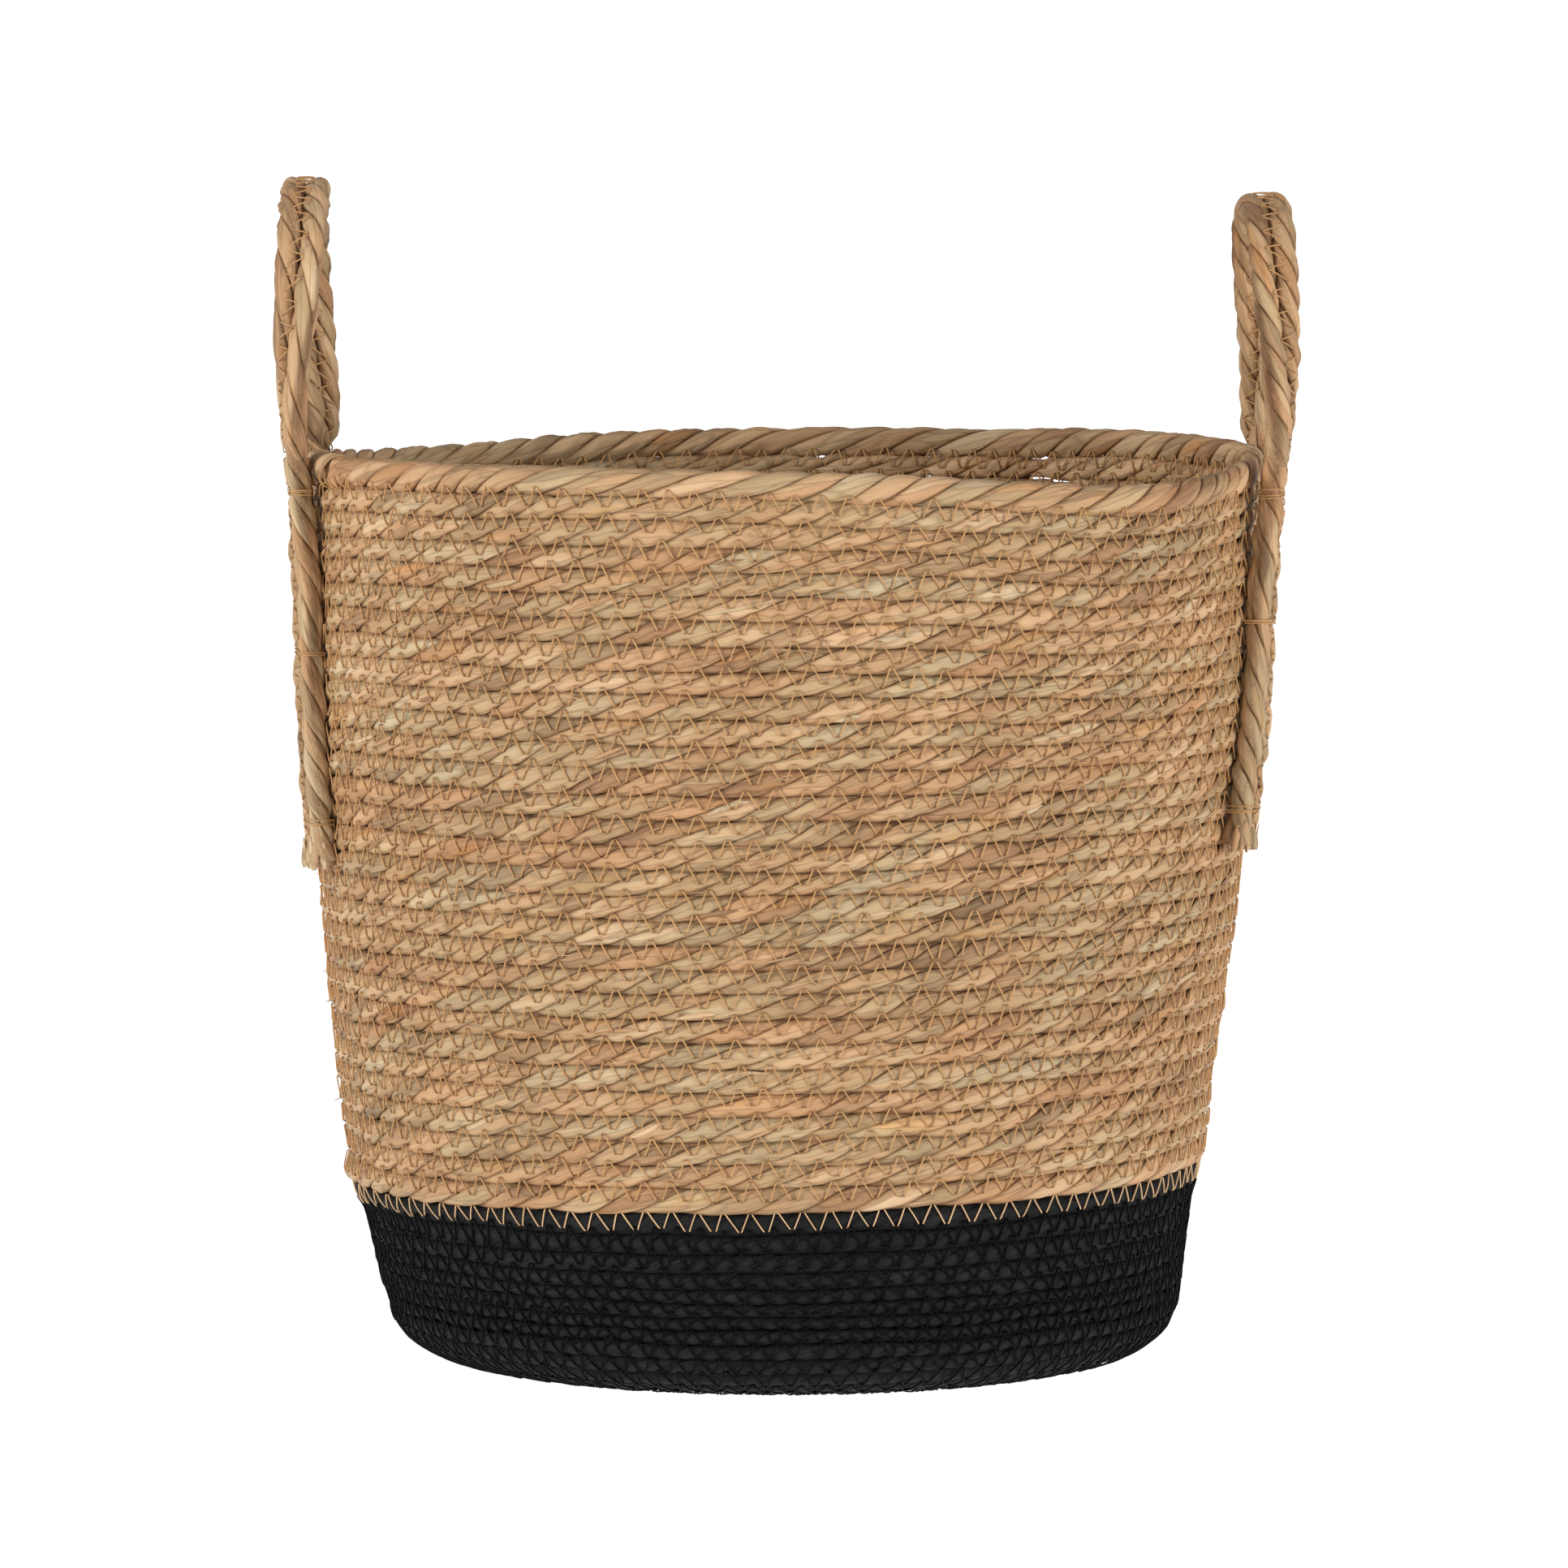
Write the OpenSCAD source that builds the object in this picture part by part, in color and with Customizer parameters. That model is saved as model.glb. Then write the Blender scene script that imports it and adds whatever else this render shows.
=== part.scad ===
// Round coiled laundry basket: a spiral of thin dark rope makes the base and the bottom band,
// a spiral of thicker natural rope makes the wall, and a single thick rope makes the rim.
// Two handles, each a strap of two ropes sewn side by side, stand up at +X and -X.
// Each strap runs down the outside of the wall, where three lashings hold every leg.
// The straps bend just above the rim, so each loop is cut from its tails there.

/* [Basket] */
// Outer radius over the rim rope
rim_outer_r = 200; // [196:1:204]
// Height of the top of the rim rope
rim_top_z = 382; // [376:1:388]
// Outer radius of the natural wall where it meets the dark band
join_r = 178.5; // [176:0.5:181]
// Height of the seam where the natural wall meets the dark band
join_z = 81; // [78:1:84]
// Outer radius at the top of the dark band
band_top_r = 176.5; // [174:0.5:178]
// Outer radius of the dark band just above its rounded bottom edge
heel_r = 166.5; // [163:0.5:169]
// Radius of the rounded bottom edge
heel_bend_r = 22; // [18:1:25]
// How quickly the wall turns upright above the join
wall_curve = 2.3; // [1.5:0.1:3]

/* [Ropes] */
// Thickness of the natural wall rope
wall_rope_d = 9.6; // [8.8:0.1:10.4]
// Turns of natural rope in the wall
wall_turns = 29; // [24:1:32]
// Thickness of the dark rope
dark_rope_d = 7.8; // [7:0.1:8.4]
// Turns of dark rope in the upright part of the band
band_turns = 8; // [7:1:9]
// Turns of dark rope around the rounded bottom edge
heel_turns = 4; // [3:1:5]
// Turns of dark rope in the flat base
base_turns = 19; // [16:1:22]
// Thickness of the rim rope
rim_rope_d = 12; // [11:0.5:13]
// Depth of the groove between neighbouring turns
groove_depth = 1.6; // [1:0.1:2.2]

/* [Handles] */
// Thickness of each of a strap's two ropes
strap_rope_d = 10.5; // [9.5:0.1:11]
// Distance from a handle's middle to the middle of each leg
leg_offset = 52; // [48:1:58]
// Height of the top of the handles
handle_top_z = 490; // [480:1:500]
// Height of the line where a handle bends, just above the rim
flex_z = 386; // [385:0.5:388]
// How far the straps stand off the rim where they bend
flex_stand = 3; // [0:0.5:4]
// Distance from the basket's middle to the middle of the strap at the top of a handle
crown_x = 202; // [200:0.5:205]
// How far a handle bows outward halfway up
bow = 1.5; // [0:0.5:5]
// Length over which the strap turns from flat on the wall to edge up
twist_len = 100; // [90:1:110]
// Height of the cut lower ends of the tails
tail_foot_z = 214; // [205:1:222]
// Heights of the three lashings on each leg
lashing_z = [232, 307, 367]; // [224:1:372]
// Height of one lashing
lashing_h = 3; // [2:0.5:4]
// Thickness of a lashing
lashing_t = 1; // [0.6:0.1:1.2]

/* [Hidden] */

$fn = 96;

NATURAL = [0.80, 0.67, 0.49];
DARK = [0.15, 0.15, 0.155];
BROWN_THREAD = [0.66, 0.45, 0.26];
BLACK_THREAD = [0.05, 0.05, 0.05];

wall_top_z = rim_top_z - rim_rope_d;
rim_r = rim_outer_r - rim_rope_d / 2;
flat_r = heel_r - heel_bend_r;
strap_r = strap_rope_d / 2;
// Where each turn's rounded face starts and ends, as a share of one turn
shoulder = 0.25;
// How far a seam thread fills its groove, as a share of the groove's flanks
seam_fill = 0.5;

// ---- The wall's outline ----

// Outer radius of the natural wall at height z
function wall_r(z) =
    let (t = min(max((z - join_z) / (wall_top_z - join_z), 0), 1))
    join_r + (rim_outer_r - 1 - join_r) * (1 - pow(1 - t, wall_curve));

// A point in the natural wall, u turns above the join and depth in from its outer face
function natural_pt(u, depth) =
    let (z = join_z + u * (wall_top_z - join_z) / wall_turns)
    [wall_r(z) - depth, z];

// A point in the dark band, u turns below the join and depth in from its outer face
function dark_pt(u, depth) =
    u < band_turns
    ? [band_top_r + (heel_r - band_top_r) * u / band_turns - depth,
       join_z + (heel_bend_r - join_z) * u / band_turns]
    : let (a = 90 * (u - band_turns) / heel_turns)
      [flat_r + (heel_bend_r - depth) * cos(a), heel_bend_r - (heel_bend_r - depth) * sin(a)];

// A point in the base, u turns out from its middle and h above the floor
function base_pt(u, h) = [u * flat_r / base_turns, h];

// Three seam corners in the groove at turn k: its bottom, then a point up each flank.
// face is the depth of the turns' rounded face and bottom the depth of the groove's bottom.
function natural_groove(k, face, bottom) =
    let (g = natural_pt(k, bottom))
    [g, g + seam_fill * (natural_pt(k - shoulder, face) - g),
     g + seam_fill * (natural_pt(k + shoulder, face) - g)];
function dark_groove(k, face, bottom) =
    let (g = dark_pt(k, bottom))
    [g, g + seam_fill * (dark_pt(k - shoulder, face) - g),
     g + seam_fill * (dark_pt(k + shoulder, face) - g)];

module natural_section() {
    outer = [for (k = [0 : wall_turns - 1]) each [
        natural_pt(k, groove_depth),
        natural_pt(k + shoulder, 0),
        natural_pt(k + 1 - shoulder, 0)
    ]];
    inner = [for (k = [wall_turns : -1 : 1]) each [
        natural_pt(k, wall_rope_d - groove_depth),
        natural_pt(k - shoulder, wall_rope_d),
        natural_pt(k - 1 + shoulder, wall_rope_d)
    ]];
    polygon(concat(
        outer, [natural_pt(wall_turns, groove_depth)],
        inner, [natural_pt(0, wall_rope_d - groove_depth)]
    ));
}

module dark_section() {
    turns = band_turns + heel_turns;
    outer = [for (k = [0 : turns - 1]) each [
        dark_pt(k, groove_depth),
        dark_pt(k + shoulder, 0),
        dark_pt(k + 1 - shoulder, 0)
    ]];
    inner = [for (k = [turns : -1 : 1]) each [
        dark_pt(k, dark_rope_d - groove_depth),
        dark_pt(k - shoulder, dark_rope_d),
        dark_pt(k - 1 + shoulder, dark_rope_d)
    ]];
    polygon(concat(
        outer, [dark_pt(turns, groove_depth)],
        inner, [dark_pt(0, dark_rope_d - groove_depth)]
    ));
}

// The base is flat underneath, so that it stands steady, and grooved on top
module base_section() {
    grooved = [for (k = [base_turns : -1 : 1]) each [
        base_pt(k, dark_rope_d - groove_depth),
        base_pt(k - shoulder, dark_rope_d),
        base_pt(k - 1 + shoulder, dark_rope_d)
    ]];
    polygon(concat(
        [[0, 0], base_pt(base_turns - shoulder, 0), base_pt(base_turns, groove_depth)],
        grooved, [[0, dark_rope_d]]
    ));
}

module base_coil() {
    color(DARK) rotate_extrude() base_section();
}

module base_seam_thread() {
    color(BLACK_THREAD) for (k = [1 : base_turns - 1]) rotate_extrude() {
        g = base_pt(k, dark_rope_d - groove_depth);
        polygon([
            g,
            g + seam_fill * (base_pt(k + shoulder, dark_rope_d) - g),
            g + seam_fill * (base_pt(k - shoulder, dark_rope_d) - g)
        ]);
    }
}

module black_wall_coil() {
    color(DARK) rotate_extrude() dark_section();
}

module black_seam_thread() {
    color(BLACK_THREAD) for (k = [1 : band_turns + heel_turns - 1]) {
        rotate_extrude() polygon(dark_groove(k, 0, groove_depth));
        rotate_extrude() polygon(dark_groove(k, dark_rope_d, dark_rope_d - groove_depth));
    }
}

module natural_wall_coil() {
    color(NATURAL) rotate_extrude() natural_section();
}

module natural_seam_thread() {
    color(BROWN_THREAD) for (k = [1 : wall_turns - 1]) {
        rotate_extrude() polygon(natural_groove(k, 0, groove_depth));
        rotate_extrude() polygon(natural_groove(k, wall_rope_d, wall_rope_d - groove_depth));
    }
}

// The brown seam that joins the lowest natural turn to the highest dark turn
module join_seam_thread() {
    natural_g = natural_pt(0, groove_depth);
    dark_g = dark_pt(0, groove_depth);
    natural_flank = natural_g + seam_fill * (natural_pt(shoulder, 0) - natural_g);
    dark_flank = dark_g + seam_fill * (dark_pt(shoulder, 0) - dark_g);
    color(BROWN_THREAD) rotate_extrude() polygon([
        natural_g,
        dark_g,
        dark_flank,
        [natural_flank.x, dark_flank.y],
        natural_flank
    ]);
}

module rim_rope() {
    color(NATURAL) translate([0, 0, rim_top_z - rim_rope_d / 2])
        rotate_extrude() translate([rim_r, 0]) circle(d = rim_rope_d);
}

// ---- The handles, drawn at +X ----

// Gap left between a strap and what it lies on
strap_gap = 0.4;
// Gap left between a loop's rounded end and the tail below it
flex_gap = 0.5;
flex_x = sqrt(pow(rim_outer_r + strap_r + strap_gap, 2) - pow(leg_offset - strap_r, 2)) + flex_stand;
// Length over which the strap leans from the bend to its crown
crown_run = 60;
leg_h = handle_top_z - strap_r - leg_offset - flex_z;
half_loop = leg_h + leg_offset * PI / 2;
tail_top_z = flex_z - strap_r - flex_gap;
// Height above which a tail leaves the wall to reach over the rim
lift_z = 320;
rope_sides = 12;
thread_sides = 6;
loop_rings = 36;
tail_rings = 16;
// Radius of the thread bead that stands for a strap's zigzag seam, and its gap and height over the strap
bead_r = 0.9;
bead_gap = 0.15;
bead_h = sqrt(pow(strap_r + bead_r, 2) - strap_r * strap_r) + bead_gap;
// Gap between a lashing and the seam bead under it, and how far it reaches past the ropes' middle
lashing_gap = 0.9;
lashing_reach = 1;

function smooth(t) = let (c = min(max(t, 0), 1)) c * c * (3 - 2 * c);
function unit(v) = v / norm(v);

// The strap's middle line at distance s from its front end, as [x, y, z, outward y, outward z],
// where the outward direction points away from the hand hole
function strap_line(s) =
    let (d = min(s, 2 * half_loop - s),
         side = s < half_loop ? -1 : 1,
         a = max(d - leg_h, 0) / leg_offset * 180 / PI,
         x = flex_x + (crown_x - flex_x) * smooth(d / crown_run) + bow * sin(180 * d / half_loop))
    [x, side * leg_offset * cos(a),
     flex_z + min(d, leg_h) + leg_offset * sin(a),
     side * cos(a), sin(a)];

// How far the strap has turned at distance s: 90 is flat on the wall, 0 is edge up
function strap_turn(s) = 90 * (1 - smooth(min(s, 2 * half_loop - s) / twist_len));

// A point beside the strap's middle line: across the strap, then square to its face
function strap_pt(s, across, off) =
    let (c = strap_line(s), t = strap_turn(s), out = [0, c[3], c[4]])
    [c[0], c[1], c[2]]
    + across * (-cos(t) * [1, 0, 0] + sin(t) * out)
    + off * (sin(t) * [1, 0, 0] + cos(t) * out);

// How far a tail has lifted off the wall to reach over the rim at height z, from 0 to 1
function tail_lift(z) = smooth((z - lift_z) / (tail_top_z - lift_z));

// How far a tail's face is turned from +X at height z, so that both of its ropes lie on the wall
function tail_yaw(z) = asin(leg_offset / (rim_outer_r + strap_r)) * (1 - tail_lift(z));

// A point on a tail at height z: side is -1 in front and 1 behind
function tail_pt(z, side, across, off) =
    let (y = leg_offset + across,
         hug = sqrt(pow(wall_r(z) + strap_r + strap_gap, 2) - y * y),
         x = hug + (flex_x - hug) * tail_lift(z))
    [x + off * cos(tail_yaw(z)), side * (y + off * sin(tail_yaw(z))), z];

// A round rope through the points of path, with one radius for each point
module sweep(path, radii, sides) {
    last = len(path) - 1;
    rings = [for (i = [0 : last])
        let (t = unit(path[min(i + 1, last)] - path[max(i - 1, 0)]),
             u = unit([1, 0, 0] - t.x * t),
             v = cross(t, u))
        for (j = [0 : sides - 1])
            path[i] + radii[i] * (cos(360 * j / sides) * u + sin(360 * j / sides) * v)
    ];
    skin = [for (i = [0 : last - 1]) for (j = [0 : sides - 1])
        let (k = (j + 1) % sides)
        each [
            [i * sides + j, (i + 1) * sides + j, (i + 1) * sides + k],
            [i * sides + j, (i + 1) * sides + k, i * sides + k]
        ]
    ];
    foot = [for (j = [0 : sides - 1]) j];
    head = [for (j = [sides - 1 : -1 : 0]) last * sides + j];
    polyhedron(rings, concat(skin, [foot, head]), convexity = 6);
}

// One rope of a loop, with its two ends rounded about the line where the handle bends
module loop_rope(across) {
    cap = [75, 50, 25];
    run = [for (i = [0 : loop_rings]) strap_pt(2 * half_loop * i / loop_rings, across, 0)];
    path = concat(
        [for (a = cap) run[0] - [0, 0, strap_r * sin(a)]],
        run,
        [for (i = [2 : -1 : 0]) run[loop_rings] - [0, 0, strap_r * sin(cap[i])]]
    );
    radii = concat(
        [for (a = cap) strap_r * cos(a)],
        [for (p = run) strap_r],
        [for (i = [2 : -1 : 0]) strap_r * cos(cap[i])]
    );
    color(NATURAL) sweep(path, radii, rope_sides);
}

// The loop's seam: one bead along each face of the strap
module loop_thread() {
    color(BROWN_THREAD) for (off = [-bead_h, bead_h]) {
        path = [for (i = [1 : loop_rings - 1])
            strap_pt(2 * half_loop * i / loop_rings, 0, off)];
        sweep(path, [for (p = path) bead_r], thread_sides);
    }
}

module tail_rope(side, across) {
    path = [for (i = [0 : tail_rings])
        tail_pt(tail_foot_z + (tail_top_z - tail_foot_z) * i / tail_rings, side, across, 0)];
    color(NATURAL) sweep(path, [for (p = path) strap_r], rope_sides);
}

module tail_thread(side) {
    path = [for (i = [0 : tail_rings])
        tail_pt(tail_foot_z + (tail_top_z - tail_foot_z) * i / tail_rings, side, 0, bead_h)];
    color(BROWN_THREAD) sweep(path, [for (p = path) bead_r], thread_sides);
}

// A stadium outline round both ropes of a tail, grown by g
module strap_outline(g) {
    for (s = [-1, 1]) translate([0, s * strap_r]) circle(r = strap_r + g);
    translate([-strap_r - g, -strap_r]) square([2 * (strap_r + g), 2 * strap_r]);
}

// Three lashings over one leg, each open towards the wall that its thread goes into
module leg_lashings(side) {
    color(BROWN_THREAD) for (z = lashing_z) {
        inner = tail_pt(z, side, -strap_r, 0);
        outer = tail_pt(z, side, strap_r, 0);
        translate((inner + outer) / 2 - [0, 0, lashing_h / 2])
            rotate(side * tail_yaw(z))
            linear_extrude(lashing_h) intersection() {
                difference() {
                    strap_outline(lashing_gap + bead_r + lashing_t);
                    strap_outline(lashing_gap + bead_r);
                }
                translate([-lashing_reach, -2 * strap_rope_d]) square([3 * strap_rope_d, 4 * strap_rope_d]);
            }
    }
}

module on_left() { mirror([1, 0, 0]) children(); }

module left_loop_inside_rope() { on_left() loop_rope(strap_r); }
module left_loop_outside_rope() { on_left() loop_rope(-strap_r); }
module left_loop_thread() { on_left() loop_thread(); }
module left_front_tail_inside_rope() { on_left() tail_rope(-1, strap_r); }
module left_front_tail_outside_rope() { on_left() tail_rope(-1, -strap_r); }
module left_front_tail_thread() { on_left() tail_thread(-1); }
module left_back_tail_inside_rope() { on_left() tail_rope(1, strap_r); }
module left_back_tail_outside_rope() { on_left() tail_rope(1, -strap_r); }
module left_back_tail_thread() { on_left() tail_thread(1); }
module left_front_lashings() { on_left() leg_lashings(-1); }
module left_back_lashings() { on_left() leg_lashings(1); }

base_coil();
base_seam_thread();
black_wall_coil();
black_seam_thread();
natural_wall_coil();
natural_seam_thread();
join_seam_thread();
rim_rope();
left_loop_inside_rope();
left_loop_outside_rope();
left_loop_thread();
left_front_tail_inside_rope();
left_front_tail_outside_rope();
left_front_tail_thread();
left_back_tail_inside_rope();
left_back_tail_outside_rope();
left_back_tail_thread();
left_front_lashings();
left_back_lashings();
loop_rope(strap_r);  // right_loop_inside_rope
loop_rope(-strap_r);  // right_loop_outside_rope
loop_thread();  // right_loop_thread
tail_rope(-1, strap_r);  // right_front_tail_inside_rope
tail_rope(-1, -strap_r);  // right_front_tail_outside_rope
tail_thread(-1);  // right_front_tail_thread
tail_rope(1, strap_r);  // right_back_tail_inside_rope
tail_rope(1, -strap_r);  // right_back_tail_outside_rope
tail_thread(1);  // right_back_tail_thread
leg_lashings(-1);  // right_front_lashings
leg_lashings(1);  // right_back_lashings
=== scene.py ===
"""Looks of a coiled laundry basket: plied plant-fibre ropes, sewn course on course.

Sizes are in millimetres until a mesh is made. Turns are counted along one long helix: turn 0 is where
the dark rope ends and the natural rope begins, at the left of the basket (azimuth 180 degrees).
Turns above 0 are natural rope, turns below 0 are dark rope, and the turns grow anticlockwise.
"""

import math

import bpy
import numpy as np
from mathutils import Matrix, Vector


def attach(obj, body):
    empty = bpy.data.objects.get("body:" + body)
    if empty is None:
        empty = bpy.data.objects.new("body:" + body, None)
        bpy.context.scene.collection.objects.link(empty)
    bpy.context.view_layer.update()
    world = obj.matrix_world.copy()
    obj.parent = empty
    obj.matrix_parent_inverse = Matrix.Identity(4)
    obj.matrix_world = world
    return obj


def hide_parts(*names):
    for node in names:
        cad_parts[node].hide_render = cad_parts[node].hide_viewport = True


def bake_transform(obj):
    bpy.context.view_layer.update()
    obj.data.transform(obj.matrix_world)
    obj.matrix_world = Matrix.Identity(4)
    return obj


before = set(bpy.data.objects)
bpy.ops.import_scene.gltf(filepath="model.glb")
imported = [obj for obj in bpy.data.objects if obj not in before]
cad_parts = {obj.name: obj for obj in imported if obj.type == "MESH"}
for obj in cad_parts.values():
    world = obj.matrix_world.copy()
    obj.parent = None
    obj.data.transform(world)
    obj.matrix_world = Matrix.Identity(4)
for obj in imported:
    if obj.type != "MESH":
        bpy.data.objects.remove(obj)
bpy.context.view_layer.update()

MM = 0.001
TAU = 2 * math.pi

# ---------------- sizes, most of them as in the CAD source
RIM_R, RIM_Z, RIM_ROPE_R = 194.0, 376.0, 6.0
WALL_TOP_Z, WALL_TOP_R = 370.0, 199.0
JOIN_Z, JOIN_R = 81.0, 178.5
WALL_CURVE = 2.3
START_Z = 77.0              # height where the natural rope starts, at the left
NATURAL_RISE = WALL_TOP_Z - START_Z
NATURAL_HALF, DARK_HALF = 4.8, 3.9    # half thickness of the ropes, through the wall
FLAT_R, HEEL_BEND = 144.5, 22.0
NATURAL_TURNS, DARK_TURNS = 29, 30.4
NATURAL_PITCH = NATURAL_RISE / (NATURAL_TURNS + 0.5)
DARK_PITCH = 7.65           # mean height of a dark course
BASE_TURN = -11.1           # below this turn the dark rope is the base
NATURAL_PRESS, DARK_PRESS = 0.6, 0.2  # how far neighbouring courses press into each other
BASE_PRESS, BASE_PRESS_TURN = 0.45, -10.5    # how much further they do below this turn
STRAP_R, STRAP_GAP, LEG_OFFSET = 5.25, 0.4, 52.0
FLEX_X, FLEX_Z, CROWN_X, BOW, CROWN_RUN = 203.27, 386.0, 202.0, 1.5, 60.0
LEG_H, TWIST_LEN, TWIST_LEAD, LIFT_Z = 46.75, 100.0, 12.0, 320.0
LEG_YAW = math.asin(LEG_OFFSET / (200 + STRAP_R))
HALF_LOOP = LEG_H + LEG_OFFSET * math.pi / 2
TAIL_TOP_Z = 380.25
BEND_Z = (0.377, 0.397)     # metres: the heights of the two points on each handle's hinge line


def smooth(x):
    c = np.clip(x, 0, 1)
    return c * c * (3 - 2 * c)


def random_knots(seed, count=8192):
    return np.random.default_rng(seed).uniform(-1, 1, count)


def wander(x, seed, step):
    """Smooth noise of x, from -1 to 1, with one random knot for each step."""
    knots = random_knots(seed)
    q = np.asarray(x, float) / step
    i = np.floor(q).astype(np.int64)
    f = q - i
    f = f * f * (3 - 2 * f)
    return knots[i % 8192] * (1 - f) + knots[(i + 1) % 8192] * f


def wander2(x, y, seed, step_x, step_y):
    """Smooth noise over a plane, from -1 to 1."""
    knots = random_knots(seed, 16384)
    p, q = np.asarray(x, float) / step_x, np.asarray(y, float) / step_y
    i, j = np.floor(p).astype(np.int64), np.floor(q).astype(np.int64)
    f, g = p - i, q - j
    f, g = f * f * (3 - 2 * f), g * g * (3 - 2 * g)

    def knot(a, b):
        return knots[(a * 131 + b * 7919) % 16384]

    return ((knot(i, j) * (1 - f) + knot(i + 1, j) * f) * (1 - g)
            + (knot(i, j + 1) * (1 - f) + knot(i + 1, j + 1) * f) * g)


def chance(i, seed):
    """One random number from -1 to 1 for each whole number i."""
    return random_knots(seed)[np.asarray(i).astype(np.int64) % 8192]


# ---------------- the wall's outline
def wall_r(z):
    t = np.clip((z - JOIN_Z) / (WALL_TOP_Z - JOIN_Z), 0, 1)
    return JOIN_R + (WALL_TOP_R - JOIN_R) * (1 - (1 - t) ** WALL_CURVE)


SLANT = math.radians(9.34)
HEEL_TOP_R = FLAT_R + HEEL_BEND * math.cos(SLANT)
HEEL_TOP_Z = HEEL_BEND * (1 - math.sin(SLANT))
BAND_LEN = (START_Z - HEEL_TOP_Z) / math.cos(SLANT)
HEEL_MID_R = HEEL_BEND - DARK_HALF
HEEL_LEN = HEEL_MID_R * (math.pi / 2 - SLANT)


def natural_line(p):
    """The middle line of the natural courses at path length p above START_Z: r, z and outward normal."""
    z = START_Z + p
    slope = (wall_r(z + 1) - wall_r(z - 1)) / 2
    size = np.sqrt(1 + slope ** 2)
    nr, nz = 1 / size, -slope / size
    return wall_r(z) - NATURAL_HALF * nr, z - NATURAL_HALF * nz, nr, nz


def dark_line(p):
    """The same for the dark courses: down the band, round the heel and along the flat base as p falls."""
    p = np.asarray(p, float)
    top_r = HEEL_TOP_R + BAND_LEN * math.sin(SLANT)
    band_r = top_r + p * math.sin(SLANT) - DARK_HALF * math.cos(SLANT)
    band_z = START_Z + p * math.cos(SLANT) + DARK_HALF * math.sin(SLANT)
    bend = SLANT + (-p - BAND_LEN) / HEEL_MID_R
    bend = np.clip(bend, SLANT, math.pi / 2)
    heel_r = FLAT_R + HEEL_MID_R * np.cos(bend)
    heel_z = HEEL_BEND - HEEL_MID_R * np.sin(bend)
    along = np.maximum(-p - BAND_LEN - HEEL_LEN, 0)
    on_band = -p < BAND_LEN
    r = np.where(on_band, band_r, heel_r - along)
    z = np.where(on_band, band_z, heel_z)
    return r, z, np.cos(bend), -np.sin(bend)


def rise(t):
    """Path length of the groove under turn t. Low turns climb steadily; high turns step up at the left."""
    t = np.asarray(t, float)
    n = np.round(t)
    level = n + np.sign(t - n) * 0.5 * smooth(np.abs(t - n) / 0.085)
    share = smooth((t - 4) / 18)
    uneven = 0.35 * wander(t, 31, 2.3) * smooth((NATURAL_TURNS - t) / 4) * smooth(t / 3)
    natural = NATURAL_PITCH * (t + share * (level - t)) + uneven
    wave = TAU / 11
    dark = DARK_PITCH * t + 1.15 / wave * (np.sin(wave * (t + 0.6)) - math.sin(wave * 0.6))
    return np.where(t > 0, np.minimum(natural, NATURAL_RISE), dark)


def bump_at(angle, centre, spread):
    d = (angle - centre + 180) % 360 - 180
    return np.exp(-0.5 * (d / spread) ** 2)


def handmade(v):
    """The uneven shape of this basket. Its rim dips at the front right, and it leans a bit to the left."""
    x, y, z = v[:, 0].copy(), v[:, 1].copy(), v[:, 2].copy()
    az = np.degrees(np.arctan2(y, x))
    r = np.hypot(x, y)
    dip = (-8.6 * bump_at(az, -41, 20) - 4.6 * bump_at(az, 145, 20)
           + 1.8 * bump_at(az, 33, 18) + 1.2 * bump_at(az, -112, 22))
    dip = dip * smooth((z - 215) / 160) * (1 - smooth((z - 386) / 70))
    tilt = 2.0 * np.cos(np.radians(az)) * np.exp(-0.5 * ((z - 82) / 30) ** 2) * smooth(r / 120)
    lean = -3.6 * np.exp(-((z - 100) / np.where(z < 100, 60, 110)) ** 2) * smooth((r - 60) / 90)
    bulge = (3.6 * bump_at(az, 180, 26) * smooth((z - 66) / 10) * (1 - smooth((z - 82) / 12))
             + 1.6 * bump_at(az, 0, 26) * smooth((z - 66) / 10) * (1 - smooth((z - 85) / 40)))
    ripple = 0.7 * np.sin(np.radians(az * 2 + 40)) * smooth((z - 60) / 200) * smooth((r - 60) / 90)
    turn = (az + 180) / 360
    uneven = smooth((r - 60) / 60) * smooth((z - 8) / 12) * (1 - smooth((z - 372) / 8))
    sideways = 0.6 * wander2(turn * 1200, z, 71, 37, 10) * uneven
    upward = 0.75 * wander2(turn * 1200, z + 300, 72, 31, 10) * uneven
    narrow = -1.3 * smooth((r - 60) / 90) * (1 - smooth((z - 150) / 150))
    heel = 6.0 * smooth((r - 126) / 34) * (1 - smooth((z - 4) / 62))
    out = (bulge + ripple + sideways + narrow) / np.maximum(r, 1)
    z = z + dip + tilt + upward + heel
    return np.stack([x + lean + x * out, y + y * out, np.maximum(z, 0.02 * z)], 1)


# ---------------- meshes
def tube_faces(rings, sides):
    i = np.arange(rings - 1)[:, None] * sides
    j = np.arange(sides)[None, :]
    k = (j + 1) % sides
    return np.stack([i + j, i + k, i + sides + k, i + sides + j], -1).reshape(-1, 4)


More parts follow.
